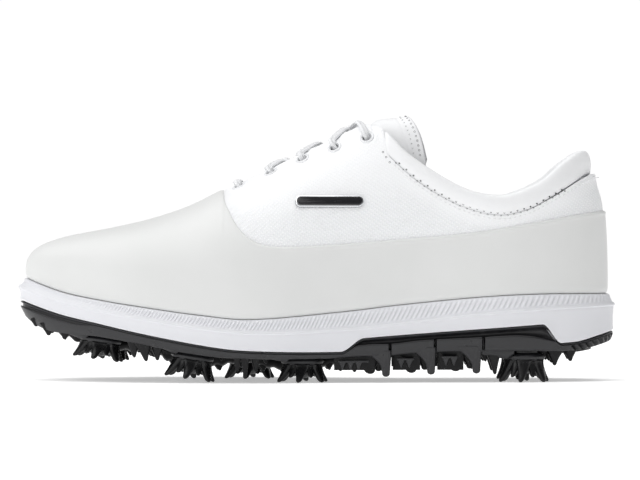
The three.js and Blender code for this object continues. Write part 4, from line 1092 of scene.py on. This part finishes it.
def rand():
    turns = even_turns(3201)[:-1]
    x = turn_x(turns)
    feather, lip = feather_height(x), lip_height(x)
    lips = lip_point(turns)
    gaps = np.linalg.norm(np.diff(lips, axis=0, append=lips[:1]), axis=1)
    ribs = np.r_[0, np.cumsum(gaps / rib_pitch(x))]
    ribs = ribs[:-1] * round(ribs[-1]) / ribs[-1]
    strength = 0.15 + 0.85 * step(x, -135, -85)
    section = [(8.2, feather - 2), (4.6, feather - 0.25), (3.7, feather - 0.35)]
    for k in np.linspace(0, 1, 22):
        inset = mix(3.0, 1.5, k) + 0.55 * np.sin(np.pi * k) ** 1.2
        height = mix(feather - 0.7, lip + 1.1, k)
        phase = 2 * np.pi * (ribs + RIB_SLANT * (height - lip) * np.sign(-turns) / rib_pitch(x))
        fade = np.sin(np.pi * np.clip(k * 1.02, 0, 1)) ** 0.6
        rib = RIB_HEIGHT * strength * fade * np.clip(0.5 + 0.9 * np.cos(phase), 0, 1)
        section.append((inset - rib, height))
    bead = ((1.0, 0.8), (0.45, 0.5), (0.12, 0.1), (0.02, -0.35), (0.12, -0.75), (0.5, -1.05),
            (1.2, -1.15))
    section += [(inset, lip + above) for inset, above in bead]
    section.append((8.2, lip - RAND_NOSE - 0.6))
    points = sole_loop(turns, section)
    piece = tidy(grid_object("rand_strip", points, loop_rows=True, loop_columns=True))
    fit(piece, foam_finish)
    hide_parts("rand")


foam_finish = moulded_foam("moulded_foam", (0.73, 0.735, 0.765))
rand()

# ---- Midsole ------------------------------------------------------------------------
# A compression-moulded foam wall with a smooth skin. Its lower edge rises over the arch and
# drops again in a short curve ahead of the heel.
WALL_INSET, MIDSOLE_DRAFT = 0.55, 0.5
flat_border = along([
    (-1, 40.4), (-0.86, 33.6), (-0.72, 28.9), (-0.59, 24.6), (-0.39, 18.9), (-0.25, 16.2),
    (0.05, 15.3), (0.45, 17.2), (0.86, 19.8), (0.95, 23.2), (1, 25.4)])
arch_line = along([(0.1, 21.4), (0.3, 23.8), (0.78, 29)])


def border_height(x):
    share = np.asarray(x, float) / HALF
    raised = step(share, 0.08, 0.16) * (1 - step(share, 0.752, 0.818))
    return mix(flat_border(x), arch_line(x), raised)


def sole_turns(count, extra):
    """Even turns once round the sole, with more at the extra places along X on both sides."""
    return np.unique(np.r_[even_turns(count)[:-1], turn_at(extra, -1), turn_at(extra, 1)])


def midsole():
    turns = sole_turns(1001, np.arange(8, 130, 0.7))
    x = turn_x(turns)
    foot, top = border_height(x), lip_height(x) - 0.8
    wall = WALL_INSET + MIDSOLE_DRAFT
    section = [(16, foot + 1.2), (5, foot + 0.3), (wall + 0.6, foot + 0.12), (wall + 0.15, foot + 0.2),
               (wall - 0.1, foot + 0.5), (wall - 0.15, foot + 1.0)]
    for k in np.linspace(0.12, 0.97, 14):
        inset = mix(wall - 0.15, WALL_INSET, k) + 0.3 * np.sin(np.pi * k)
        section.append((inset, mix(foot + 0.6, top, k)))
    section += [(WALL_INSET + 0.1, top), (WALL_INSET + 1, top + 0.05), (16, top)]
    points = sole_loop(turns, section)
    piece = tidy(grid_object("midsole_wall", points, loop_rows=True, loop_columns=True))
    fit(piece, foam_finish)
    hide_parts("midsole")


midsole()

# ---- Inside the sole ----------------------------------------------------------------
# A stiff fibre board that the upper is lasted over, a slim moulded shank under the arch,
# and two clear air cushions let into the midsole. None of them shows on a finished shoe.
def fibre_board():
    made = Finish("fibre_board", (0.55, 0.5, 0.42), 0.85)
    fibre = made.noise(made.place(), 1.2, 6)
    made.tint(fibre, (0.45, 0.4, 0.33), (0.62, 0.57, 0.5))
    made.bump(fibre, 0.15, 0.6)
    return made


def clear_plastic():
    made = Finish("clear_plastic", (0.75, 0.8, 0.84), 0.12, Transmission_Weight=0.6)
    cloud = made.noise(made.place(), 0.2, 3)
    made.rough(cloud, 0.08, 0.22)
    made.bump(cloud, 0.1, 0.3)
    return made


def moulded_black(name, color, roughness, gloss=0.5):
    made = Finish(name, color, roughness, Specular_IOR_Level=gloss)
    place = made.place()
    grain, scuff = made.noise(place, 2.5, 4), made.noise(place, 0.12, 4)
    made.tint(scuff, color, tuple(c * 1.8 + 0.003 for c in color))
    made.rough(scuff, roughness * 0.75, roughness * 1.35)
    made.bump(grain, 0.04, 0.5)
    made.bump(scuff, 0.2, 0.2)
    return made


hidden(["lasting_board"], fibre_board())
hidden(["shank"], moulded_black("shank_plastic", (0.02, 0.02, 0.022), 0.4))
hidden(["heel_cushion", "forefoot_cushion", "aglet_lateral", "aglet_medial"], clear_plastic())

# ---- Outsole ------------------------------------------------------------------------
# One glossy black moulding. A satin bevelled band runs under the white wall, set back over
# the arch, with big wedge lugs, ledges and small teeth below it and slanting cuts at the heel.
PLATE_INSET = 1.1
plate_height = along([
    (-1, 37.5), (-0.955, 30.5), (-0.89, 26.6), (-0.8, 24.4), (-0.68, 21.8), (-0.5, 16.8),
    (-0.38, 13.8), (-0.25, 12), (-0.1, 11.8), (0.08, 11.8), (0.2, 13), (0.45, 14), (0.6, 11.9),
    (0.82, 11.9), (0.93, 14), (1, 18.4)])
recess_foot = curve([
    (14, 14.6), (22, 18.6), (38, 19.4), (52, 21), (83, 22.6), (98, 23.4), (108, 22.8),
    (117, 20.8), (126, 18.4)])
band_foot = curve([
    (-150, 36), (-143, 30), (-135, 26), (-126, 24.4), (-112, 23.4), (-91, 20.2), (-65, 15.2),
    (-45, 12.9), (-6, 12.2), (20, 13.2), (37, 13.9), (53, 15.2), (88, 16), (112, 15.8),
    (132, 16.4), (150, 21)])
SLITS, SLIT_DEPTH, SLIT_REACH = (36.8, 59.2, 83.2), 3.0, 1.6
HEEL_CUT_DEPTH, HEEL_CUT_PITCH, HEEL_CUT_SLANT = 2.6, 4.3, 3.4
SPIKE_HEIGHT = 11.3
spike_spots = (
    ("forefoot_1", -108, -17), ("forefoot_2", -61.6, -33), ("forefoot_3", -7, -29),
    ("forefoot_4", -106, 24), ("forefoot_5", -34, 28), ("heel_1", 103.5, -24), ("heel_2", 103.5, 21))


def web_height(x):
    """The underside of the plate between the lugs."""
    return plate_height(x) + 1.3 * step(x, -120, -90) + 0.9 * step(x, 82, 92)


def squared(count, power):
    """The ways round a section that is between round and square."""
    angle = circle(count)
    return (np.sign(np.cos(angle)) * np.abs(np.cos(angle)) ** power,
            np.sign(np.sin(angle)) * np.abs(np.sin(angle)) ** power)


def closing(past, least=0.02):
    """How full a rounded end still is, where past runs from 0 to 1 over it."""
    return math.sqrt(max(1 - max(0, past) ** 2, least))


def thorn(x, y, base, tip, front, rear, breadth, tip_size=1.4, hollow=2.0):
    """A tooth that hangs from base height to tip height, with a hollow front and a steep back."""
    way_x, way_y = squared(20, 0.55)
    sections = []
    for t in np.r_[np.linspace(0, 0.9, 12), 0.95, 0.985, 1.0]:
        close = closing((t - 0.9) / 0.1)
        ahead = x - tip_size - front * (1 - t) ** hollow
        behind = x + tip_size + rear * (1 - t) ** 1.4
        wide = mix(breadth / 2, max(breadth * 0.22, tip_size * 0.7), t ** 0.8) * close
        across = (ahead + behind) / 2 + way_x * (behind - ahead) / 2 * close
        level = np.full(len(way_x), mix(base, tip, t))
        sections.append(np.stack([across, y + way_y * wide, level], 1))
    return loft(sections)


def edge_y(x, side, inset=PLATE_INSET):
    return inset_point(turn_at(x, side), np.array(float(inset)))[1]


def plate():
    """The rim of the sole: the recessed band, its bevel, the slits and the cuts at the heel."""
    fine = [np.arange(slit - SLIT_REACH, slit + SLIT_REACH, 0.22) for slit in SLITS]
    turns = sole_turns(1201, np.concatenate([np.arange(8, 130, 0.8), *fine]))
    x = turn_x(turns)
    arch = step(x, 14, 24) * (1 - step(x, 118, 127))
    toe = 1 - step(x, -122, -108)
    border = lambda at: border_height(at) - 0.12

    def line(at):
        low = np.minimum(recess_foot(at), border(at) - 1.0)
        return mix(mix(border(at) - 1.0, low, arch), border(at) - 2.6, toe)

    foot = lambda at: np.minimum(band_foot(at), line(at) - 1.2)
    deep = PLATE_INSET + mix(0.45, 4.8, arch) + 0.7 * toe
    band = PLATE_INSET - 0.2 + SLIT_DEPTH * sum(np.exp(-((x - at) / 0.6) ** 4) for at in SLITS)
    travelled = length_along(lip_point(turns))
    from_heel = np.minimum(travelled, travelled[-1] - travelled)
    section = [(16, border), (PLATE_INSET + 0.3, border),
               (PLATE_INSET + 0.05, lambda at: border(at) - 0.25),
               (PLATE_INSET + 0.1, lambda at: border(at) - 0.6),
               (deep, lambda at: border(at) - mix(0.9, 1.5, arch)), (deep, lambda at: line(at) + 0.15),
               (deep - 0.3, line)]
    for k in np.linspace(0, 1, 9):
        wave = np.cos(2 * np.pi * (from_heel + HEEL_CUT_SLANT * k) / HEEL_CUT_PITCH)
        fade = math.sin(math.pi * min(max(k, 0.03), 0.97)) ** 0.4
        cut = step(x, 126, 130) * np.clip(0.35 + 1.3 * wave, 0, 1) * fade
        inset = band + mix(0.1, 1.4, k ** 1.6) * mix(1, 1.5, toe) + HEEL_CUT_DEPTH * cut
        section.append((inset, lambda at, k=k: mix(line(at), foot(at), k)))
    under = lambda at: np.maximum(web_height(at), foot(at) - 0.2)
    section += [(band + 2.2, lambda at: foot(at) - 0.3),
                (PLATE_INSET + 4.0, lambda at: mix(foot(at), under(at), 0.6)),
                (PLATE_INSET + 6.5, under), (18, web_height)]
    return sole_loop(turns, section)


keel_foot = curve([
    (-134, 27), (-129, 24.4), (-123, 20.6), (-117, 17.8), (-104, 15.8), (-93, 14.6), (-80, 13.6),
    (-75, 9.8), (-62, 7.6), (-48, 7.4), (-42, 8.6), (-32, 8.4), (-25, 6.6), (-15, 5.2), (0, 5.2),
    (5, 7.4), (12, 8)])
keel_middle = curve([(-134, 4), (-107, 3.5), (-61, 0), (-34, -3), (-7, 2), (12, 0)])
keel_reach = curve([(-134, 5), (-107, 5), (-88, 12), (-61, 12.5), (-34, 10), (-7, 11), (12, 12)])
KEEL_FRONT, KEEL_REAR, KEEL_END = -134, 12, 3


def keel():
    """The thick middle of the forefoot, between the spikes."""
    way_y, way_z = squared(28, 0.6)
    sections = []
    for x in np.linspace(KEEL_FRONT, KEEL_REAR, 120):
        past = max(x - (KEEL_REAR - KEEL_END), KEEL_FRONT + KEEL_END - x) / KEEL_END
        end = closing(past)
        top, low = web_height(x) + 2, float(keel_foot(x)) + 0.5 * math.sin(x * 1.1)
        across = keel_middle(x) + way_y * keel_reach(x) * end
        level = (top + low) / 2 + way_z * (top - low) / 2 * end
        sections.append(np.stack([np.full(len(way_y), x), across, level], 1))
    return loft(sections)


def web():
    """The plate between the two sides of the rim."""
    turns = even_turns(401)[:-1]
    edge, spine = inset_point(turns, np.full(len(turns), 12.0)), spine_point(turns)
    rings = []
    for height, shares in ((lambda at: web_height(at) + 0.05, np.linspace(1, 0, 14)),
                           (lambda at: web_height(at) + 3, np.linspace(0, 1, 14))):
        for k in shares:
            plan = mix(edge, spine, k)
            rings.append(np.concatenate([plan, height(plan[:, 0])[:, None]], 1))
    return np.stack(rings, 1)


def box_between(low_x, high_x, y, depth, low, high):
    loop = [(low_x, y), (high_x, y), (high_x, y + depth), (low_x, y + depth)]
    levels = (low, low + 0.5, high - 0.4, high)
    return loft([np.array([(a, b, z) for a, b in loop], float) for z in levels])


# Ledges: the two ends along X and the height. Lugs and blades: X and the height of the tip.
LEDGES = ((10.8, 26, 10.6), (40, 48.6, 11.6), (62.2, 70.2, 12.6))
SIDE_LUGS = ((34.6, 2.9), (57, 3.9), (79.6, 4.4))
REAR_BLADES = ((26.8, 4.2), (47.4, 4.6), (69.4, 5.4))
INNER_BLADES = ((31, 5.4), (54, 6), (76.5, 6.6))
# Small teeth: X, how far in from the edge, tip height, length ahead and behind, breadth.
SMALL_TEETH = (
    (-140.5, 5, 27.2, 2.5, 5, 4), (-134, 6, 22.8, 4, 4.5, 5), (-126, 9, 21, 3, 5, 5),
    (-90.5, 6, 12.4, 4, 4, 6), (-84.5, 6, 10.6, 7, 2.6, 7), (-79, 10, 11, 4, 4, 6),
    (-39.2, 6, 5.8, 1.8, 1.6, 4), (-35.2, 6, 3, 2.2, 1.8, 4), (-30, 10, 5.5, 3, 2.4, 5),
    (12, 9, 5.6, 4, 4.4, 6), (19, 10, 5, 4, 4, 6), (88.9, 7, 3.8, 4.2, 2.6, 7),
    (119, 10, 8, 4, 4, 6), (127, 12, 10, 3, 3, 5))
# A facet's section: distance ahead of its spike, drop and how wide it reaches.
FACET_STEPS = ((24, 0.1, 1.0), (21, 0.8, 0.97), (12, 2.9, 0.9), (8, 3.5, 0.8), (5, 1.2, 0.7))


def lugs():
    """The wedge lugs of each side, and the ledges between them."""
    parts = []
    for side in (-1, 1):
        for x, tip in SIDE_LUGS:
            y = edge_y(x, side) - side * 3.6
            parts.append(thorn(x, y, band_foot(x) + 2.4, tip, 12.5, 1.0, 6.8, 1.9, 2.8))
        for from_x, to_x, level in LEDGES:
            out = edge_y((from_x + to_x) / 2, side) - side * 1.4
            parts.append(box_between(from_x, to_x, out, -side * 9, level - 0.45, level + 0.5))
            for at in np.arange(from_x + 2.2, to_x - 1, 4.0):
                parts.append(thorn(at, out - side * 1.5, level, level - 4.2, 1.7, 1.7, 2.6, 0.3, 1.0))
    return parts


def teeth():
    """The small teeth, the blades behind the lugs and the blocks behind the ledges."""
    parts = []

    def hang(x, side, inset, *shape):
        parts.append(thorn(x, edge_y(x, side) - side * inset, web_height(x) + 2, *shape))

    for side in (-1, 1):
        for x, inset, tip, ahead, behind, breadth in SMALL_TEETH:
            hang(x, side, inset, tip, ahead, behind, breadth, 0.8, 1.2)
        for x, tip in REAR_BLADES:
            hang(x, side, 8, tip, 9, 4.5, 8, 2.1, 1.2)
        for x, tip in INNER_BLADES:
            hang(x, side, 11, tip, 10, 3, 8, 1.6, 2.0)
        for from_x, to_x, _ in LEDGES:
            back = edge_y((from_x + to_x) / 2, side) - side * 5.4
            top = web_height(from_x) + 1.5
            parts.append(box_between(from_x - 2, to_x + 3, back, -side * 6, 6.2, top))
    spots = [(x, y) for _, x, y in spike_spots]
    for x in np.arange(-126, 132, 11.0):
        for y in np.arange(-30, 31, 12.0):
            reach = abs(edge_y(x, 1 if y > 0 else -1))
            if abs(y) > reach - 15 or min(math.hypot(x - a, y - b) for a, b in spots) < 19:
                continue
            on_keel = x < KEEL_REAR and abs(y - keel_middle(x)) < keel_reach(x)
            foot, reach_down = (float(keel_foot(x)), 2.4) if on_keel else (web_height(x), 4)
            place = x + 2 * math.sin(y)
            parts.append(thorn(place, y, foot + 1.5, foot - reach_down, 3.2, 2.2, 5, 0.5, 1.2))
    return parts


def spike_frame(x, y):
    """Where a spike's flange meets the plate, and the ways down, ahead and across."""
    level = plate_height(x) < SPIKE_HEIGHT + 1
    rest = SPIKE_HEIGHT + 1.2 if x > 0 else max(SPIKE_HEIGHT - 0.9, plate_height(x) - 1.7)
    slope = 0 if level else (plate_height(x + 6) - plate_height(x - 6)) / 12
    down = np.array([slope, 0, -1.0])
    down /= np.linalg.norm(down)
    ahead = np.array([-down[2], 0, down[0]])
    return np.array([x, y, rest]), down, ahead, np.cross(down, ahead)


def facets():
    """A sloping facet ahead of each spike, from the band down to its flange."""
    parts = []
    for _, x, y in spike_spots:
        side = -1 if y < 0 else 1
        rings = []
        for ahead, drop, wide in FACET_STEPS:
            at = x - ahead
            out = edge_y(at, side) - side * mix(4.6, 3.2, wide)
            top, low = web_height(at) + 2.6, web_height(at) + 0.9 - drop
            section = ((0, top), (0.4, mix(top, low, 0.7)), (1.6, low), (11, low + 0.3), (11, top))
            rings.append([(at, out - side * inset, z) for inset, z in section])
        parts.append(loft(np.array(rings, float)))
    return parts


def soften(piece, width, segments=2):
    made = piece.modifiers.new("soften", "BEVEL")
    made.width, made.segments, made.limit_method = width * MM, segments, "ANGLE"
    made.angle_limit = math.radians(38)
    return piece


def outsole():
    rim = tidy(grid_object("outsole_plate", plate(), loop_rows=True, loop_columns=True))
    fit(rim, band_finish)
    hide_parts("outsole")
    fit(tidy(grid_object("outsole_web", web(), loop_rows=True)), rubber_finish)
    for name, parts, finish in (
            ("outsole_lugs", lugs(), band_finish),
            ("outsole_teeth", teeth() + [keel()], rubber_finish),
            ("outsole_facets", facets(), band_finish)):
        fit(soften(tidy(joined(name, parts), 0.0005), 0.25), finish)


band_finish = moulded_black("satin_band", (0.012, 0.012, 0.0135), 0.34, 0.42)
rubber_finish = moulded_black("glossy_rubber", (0.003, 0.003, 0.0035), 0.3, 0.22)
outsole()

# ---- Spikes and sockets -------------------------------------------------------------
# Turn-in plastic spikes: a domed flange, six long legs that splay and a ring of short teeth
# between them. Each turns a quarter turn into its socket.
FLANGE_PROFILE = (
    (0.01, 3.4), (5.5, 3.2), (8.2, 2.5), (9.8, 1.6), (10.6, 0.5), (10.75, -0.1), (10.5, -0.6),
    (9.6, -1.3), (7.5, -2.1), (4.2, -2.5), (0.01, -2.6))
HUB_PROFILE = (
    (0.01, 8.4), (2.2, 8.3), (3.4, 7.6), (5.2, 6.8), (7.2, 5.6), (8.9, 4.0), (9.2, 1.6), (0.01, 1.2))
LEGS, SPIKE_SIDES = 6, 48


def leg(frame_at, angle, root, tip_radius, root_high, tip_high, wide, thick, sweep):
    centre, down, ahead, across = frame_at
    way_r, way_t = squared(16, 0.7)
    sections = []
    for t in np.r_[np.linspace(0, 0.88, 10), 0.94, 0.98, 1.0]:
        close = closing((t - 0.88) / 0.12, 0.03)
        turn = angle + sweep * t
        out = ahead * math.cos(turn) + across * math.sin(turn)
        over = across * math.cos(turn) - ahead * math.sin(turn)
        middle = centre + out * mix(root, tip_radius, t ** 1.25) + down * mix(root_high, tip_high, t)
        half_r = mix(thick, thick * 0.42, t ** 0.8) * close
        half_t = mix(wide, wide * 0.24, t ** 0.7) * close
        sections.append(middle + out * (way_r * half_r)[:, None] + over * (way_t * half_t)[:, None])
    return loft(sections)


def spike(name, x, y):
    at = spike_frame(x, y)
    centre, down = at[:2]
    lens = lathe(FLANGE_PROFILE, centre, down, SPIKE_SIDES)
    flange = tidy(joined(f"spike_{name}_flange", [lens]), 0.001)
    fit(flange, band_finish, f"spike_{name}")
    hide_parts(f"spike_{name}")
    tip = centre[2] if down[0] == 0 else SPIKE_HEIGHT - 0.14 * (centre[2] - SPIKE_HEIGHT)
    parts = [lathe(HUB_PROFILE, centre, down, SPIKE_SIDES)]
    for k in range(LEGS):
        angle = (k + 0.5) * 2 * math.pi / LEGS
        parts.append(leg(at, angle, 7.0, 12.6, 1.0, tip, 4.9, 3.1, 0.16))
        parts.append(leg(at, angle + math.pi / LEGS, 6.8, 10.2, 1.6, tip - 2.4, 3.5, 2.5, 0.1))
    legs = tidy(joined(f"spike_{name}_legs", parts), 0.0005)
    fit(legs, spike_finish, f"spike_{name}")


spike_finish = moulded_black("spike_plastic", (0.004, 0.004, 0.0045), 0.26, 0.3)
hidden([f"socket_{name}" for name, _, _ in spike_spots], spike_finish)
for spot in spike_spots:
    spike(*spot)

# ---- Sock liner ---------------------------------------------------------------------
# A loose moulded foam insole with a knitted cover and a low cup round its edge. It lies on
# the lasting board and is held by the foot alone.
INSOLE_INSET, INSOLE_TOP, INSOLE_CUP, CUP_BREADTH = 9.7, 4.7, 2.4, 0.16


def sock_liner():
    turns = even_turns(401)[:-1]
    edge = inset_point(turns, np.full(len(turns), INSOLE_INSET))
    spine = spine_point(turns)
    levels = [(k, INSOLE_TOP + INSOLE_CUP * (1 - np.clip(k / CUP_BREADTH, 0, 1)) ** 2)
              for k in 1 - eased(24)]
    levels += [(k, GAP) for k in (0.0, 0.03, 0.3, 1.0)]
    rings = []
    for k, above in levels:
        plan = mix(edge, spine, k)
        rings.append(np.concatenate([plan, (feather_height(plan[:, 0]) + above)[:, None]], 1))
    piece = tidy(grid_object("insole", np.stack(rings, 1), loop_rows=True))
    fit(piece, knit("insole_knit", (0.42, 0.43, 0.45), (0.24, 0.25, 0.27), 1.1))
    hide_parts("sock_liner")


sock_liner()

# ---- Lace ---------------------------------------------------------------------------
# One braided lace, a little flattened. Its middle lies across the front pair of eyelets,
# and its ends cross up to the top pair, go in and lie forward on the insole.
# Ways through an eyelet: places toward the throat and out from the leather.
EYELET_DOWN = [(4.4, 1.45), (3.0, 1.55), (1.8, 1.15), (1.0, 0.2), (0.5, -1.9)]
EYELET_HOOK = [(0.75, -4), (1.3, -5.5), (2.5, -6.4)]
EYELET_LAST = [(0.2, -4.4), (-0.6, -6)]
LACE_SIDES = 16


def through(index, side, path):
    centre, inward, out = eyelet_place(index, side)
    return [centre + inward * a + out * b for a, b in path]


def tail_base(x):
    floor = max(float(feather_height(x - 8)), float(feather_height(x + 6)))
    return floor + GAP + 4.4 + LACE_RADIUS + 0.2


def lace_half(side, upper):
    over = LACE_THICK + 0.3
    under = LINING_INSIDE - 1.3 * (GAP + LACE_RADIUS)
    margin = lambda x: float(eyelet_spread(x)) - EYELET_MARGIN
    points = [at_spread(eyelet_x[0], side, 0.01, over - 1.6),
              at_spread(eyelet_x[0], side, margin(eyelet_x[0]), over - 0.2)]
    points += through(0, side, EYELET_DOWN + EYELET_HOOK)
    for index in range(1, EYELETS):
        start = eyelet_x[index - 1]
        edge = margin(start)
        if index == 1:
            points.append(at_spread(start + 0.25 * EYELET_PITCH, side, edge, under))
            middle_lift = under + 3.3 if upper else under
            points.append(at_spread(start + 0.5 * EYELET_PITCH, side, 0.01, middle_lift))
        else:
            points.append(at_spread(start + 0.3 * EYELET_PITCH, side, edge * 0.6, over - 0.6))
            points.append(at_spread(start + 0.5 * EYELET_PITCH, side, 0.01, -0.4 if upper else -2.7))
        side = -side
        if index == EYELETS - 1:
            points.append(at_spread(start + 0.7 * EYELET_PITCH, side, edge * 0.6, over - 0.6))
            points += through(index, side, EYELET_DOWN + EYELET_LAST)
        else:
            points.append(at_spread(start + 0.75 * EYELET_PITCH, side, edge, under))
            points += through(index, side, EYELET_DOWN + EYELET_HOOK)[::-1]
    top = eyelet_x[-1]
    for ahead, height, lift in ((7, 106, 0.3), (14, 92, 0.5), (17, 76, 1), (16, 60, 2)):
        points.append(at_height(top + ahead, side, height, under - lift))
    points.append(np.array([top + 11, side * 19, tail_base(top + 11) + 3]))
    tail = -0.62 * HALF
    for x in [top + 2, *np.arange(top - 20, tail + 10, -22), tail]:
        points.append(np.array([x, side * 13, tail_base(x)]))
    return points


def smooth_path(points, steps):
    """A centripetal curve through points, with a number of steps between neighbours."""
    p = np.array(points)
    p = np.concatenate([[2 * p[0] - p[1]], p, [2 * p[-1] - p[-2]]])
    shares = np.linspace(0, 1, steps + 1)[:-1, None]
    out = []
    for a, b, c, d in zip(p, p[1:], p[2:], p[3:]):
        t0, t1, t2 = (max(np.linalg.norm(v) ** 0.5, 1e-3) for v in (b - a, c - b, d - c))
        m1 = ((b - a) / t0 - (c - a) / (t0 + t1) + (c - b) / t1) * t1
        m2 = ((c - b) / t1 - (d - b) / (t1 + t2) + (d - c) / t2) * t1
        s = shares
        out.append(b + m1 * s + (3 * (c - b) - 2 * m1 - m2) * s ** 2 + (2 * (b - c) + m1 + m2) * s ** 3)
    return np.concatenate(out + [p[-2:-1]])


def oval_cord(path, wide, thick, count):
    """A cord with an oval section that keeps its flat side on the leather."""
    ahead = np.gradient(path, axis=0)
    ahead /= np.linalg.norm(ahead, axis=1, keepdims=True)
    core = np.stack([path[:, 0], spine_offset(path[:, 0]), crown_height(path[:, 0]) - 30], 1)
    outward = (path - core) / np.linalg.norm(path - core, axis=1, keepdims=True)
    normal = outward[0]
    rings = []
    angle = circle(count)
    for place, way, out in zip(path, ahead, outward):
        out = out - way * out.dot(way)
        normal = normal - way * normal.dot(way) + out * out.dot(out) * 0.5
        normal /= np.linalg.norm(normal)
        side = np.cross(way, normal)
        proud, aside = np.cos(angle)[:, None], np.sin(angle)[:, None]
        rings.append(place + normal * thick * proud + side * wide * aside)
    return np.array(rings)


def braided_cord():
    made = Finish("braided_cord", (0.82, 0.825, 0.84), 0.75, Sheen_Weight=0.2)
    weave = made.cells(made.flow((1.35, 1.6, 0), math.radians(45)), 1, 0.0)
    made.bump(weave, -0.16, 0.9)
    # Painted shade: the grooves between the braided strands, where the relief sinks, are painted darker.
    tone = made.spread(weave, 0, 1, 0.25, 0.75)
    made.tint(tone, (0.86, 0.865, 0.875), (0.6, 0.61, 0.63))
    made.bump(made.noise(made.place(), 4, 3), 0.05, 0.5)
    return made


def lace():
    lateral, medial = lace_half(-1, True), lace_half(1, False)
    path = smooth_path(lateral[1:][::-1] + [lateral[0]] + medial[1:], 12)
    rings = oval_cord(path, LACE_WIDE, LACE_THICK, LACE_SIDES)
    around = circle(LACE_SIDES) * LACE_RADIUS
    flow = np.stack(np.broadcast_arrays(length_along(path)[:, None], around, 1.0), -1)
    piece = grid_object("lace_cord", rings, loop_columns=True, flow=flow, caps=True)
    fit(tidy(piece, 0.0005), braided_cord())
    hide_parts("lace")


lace()
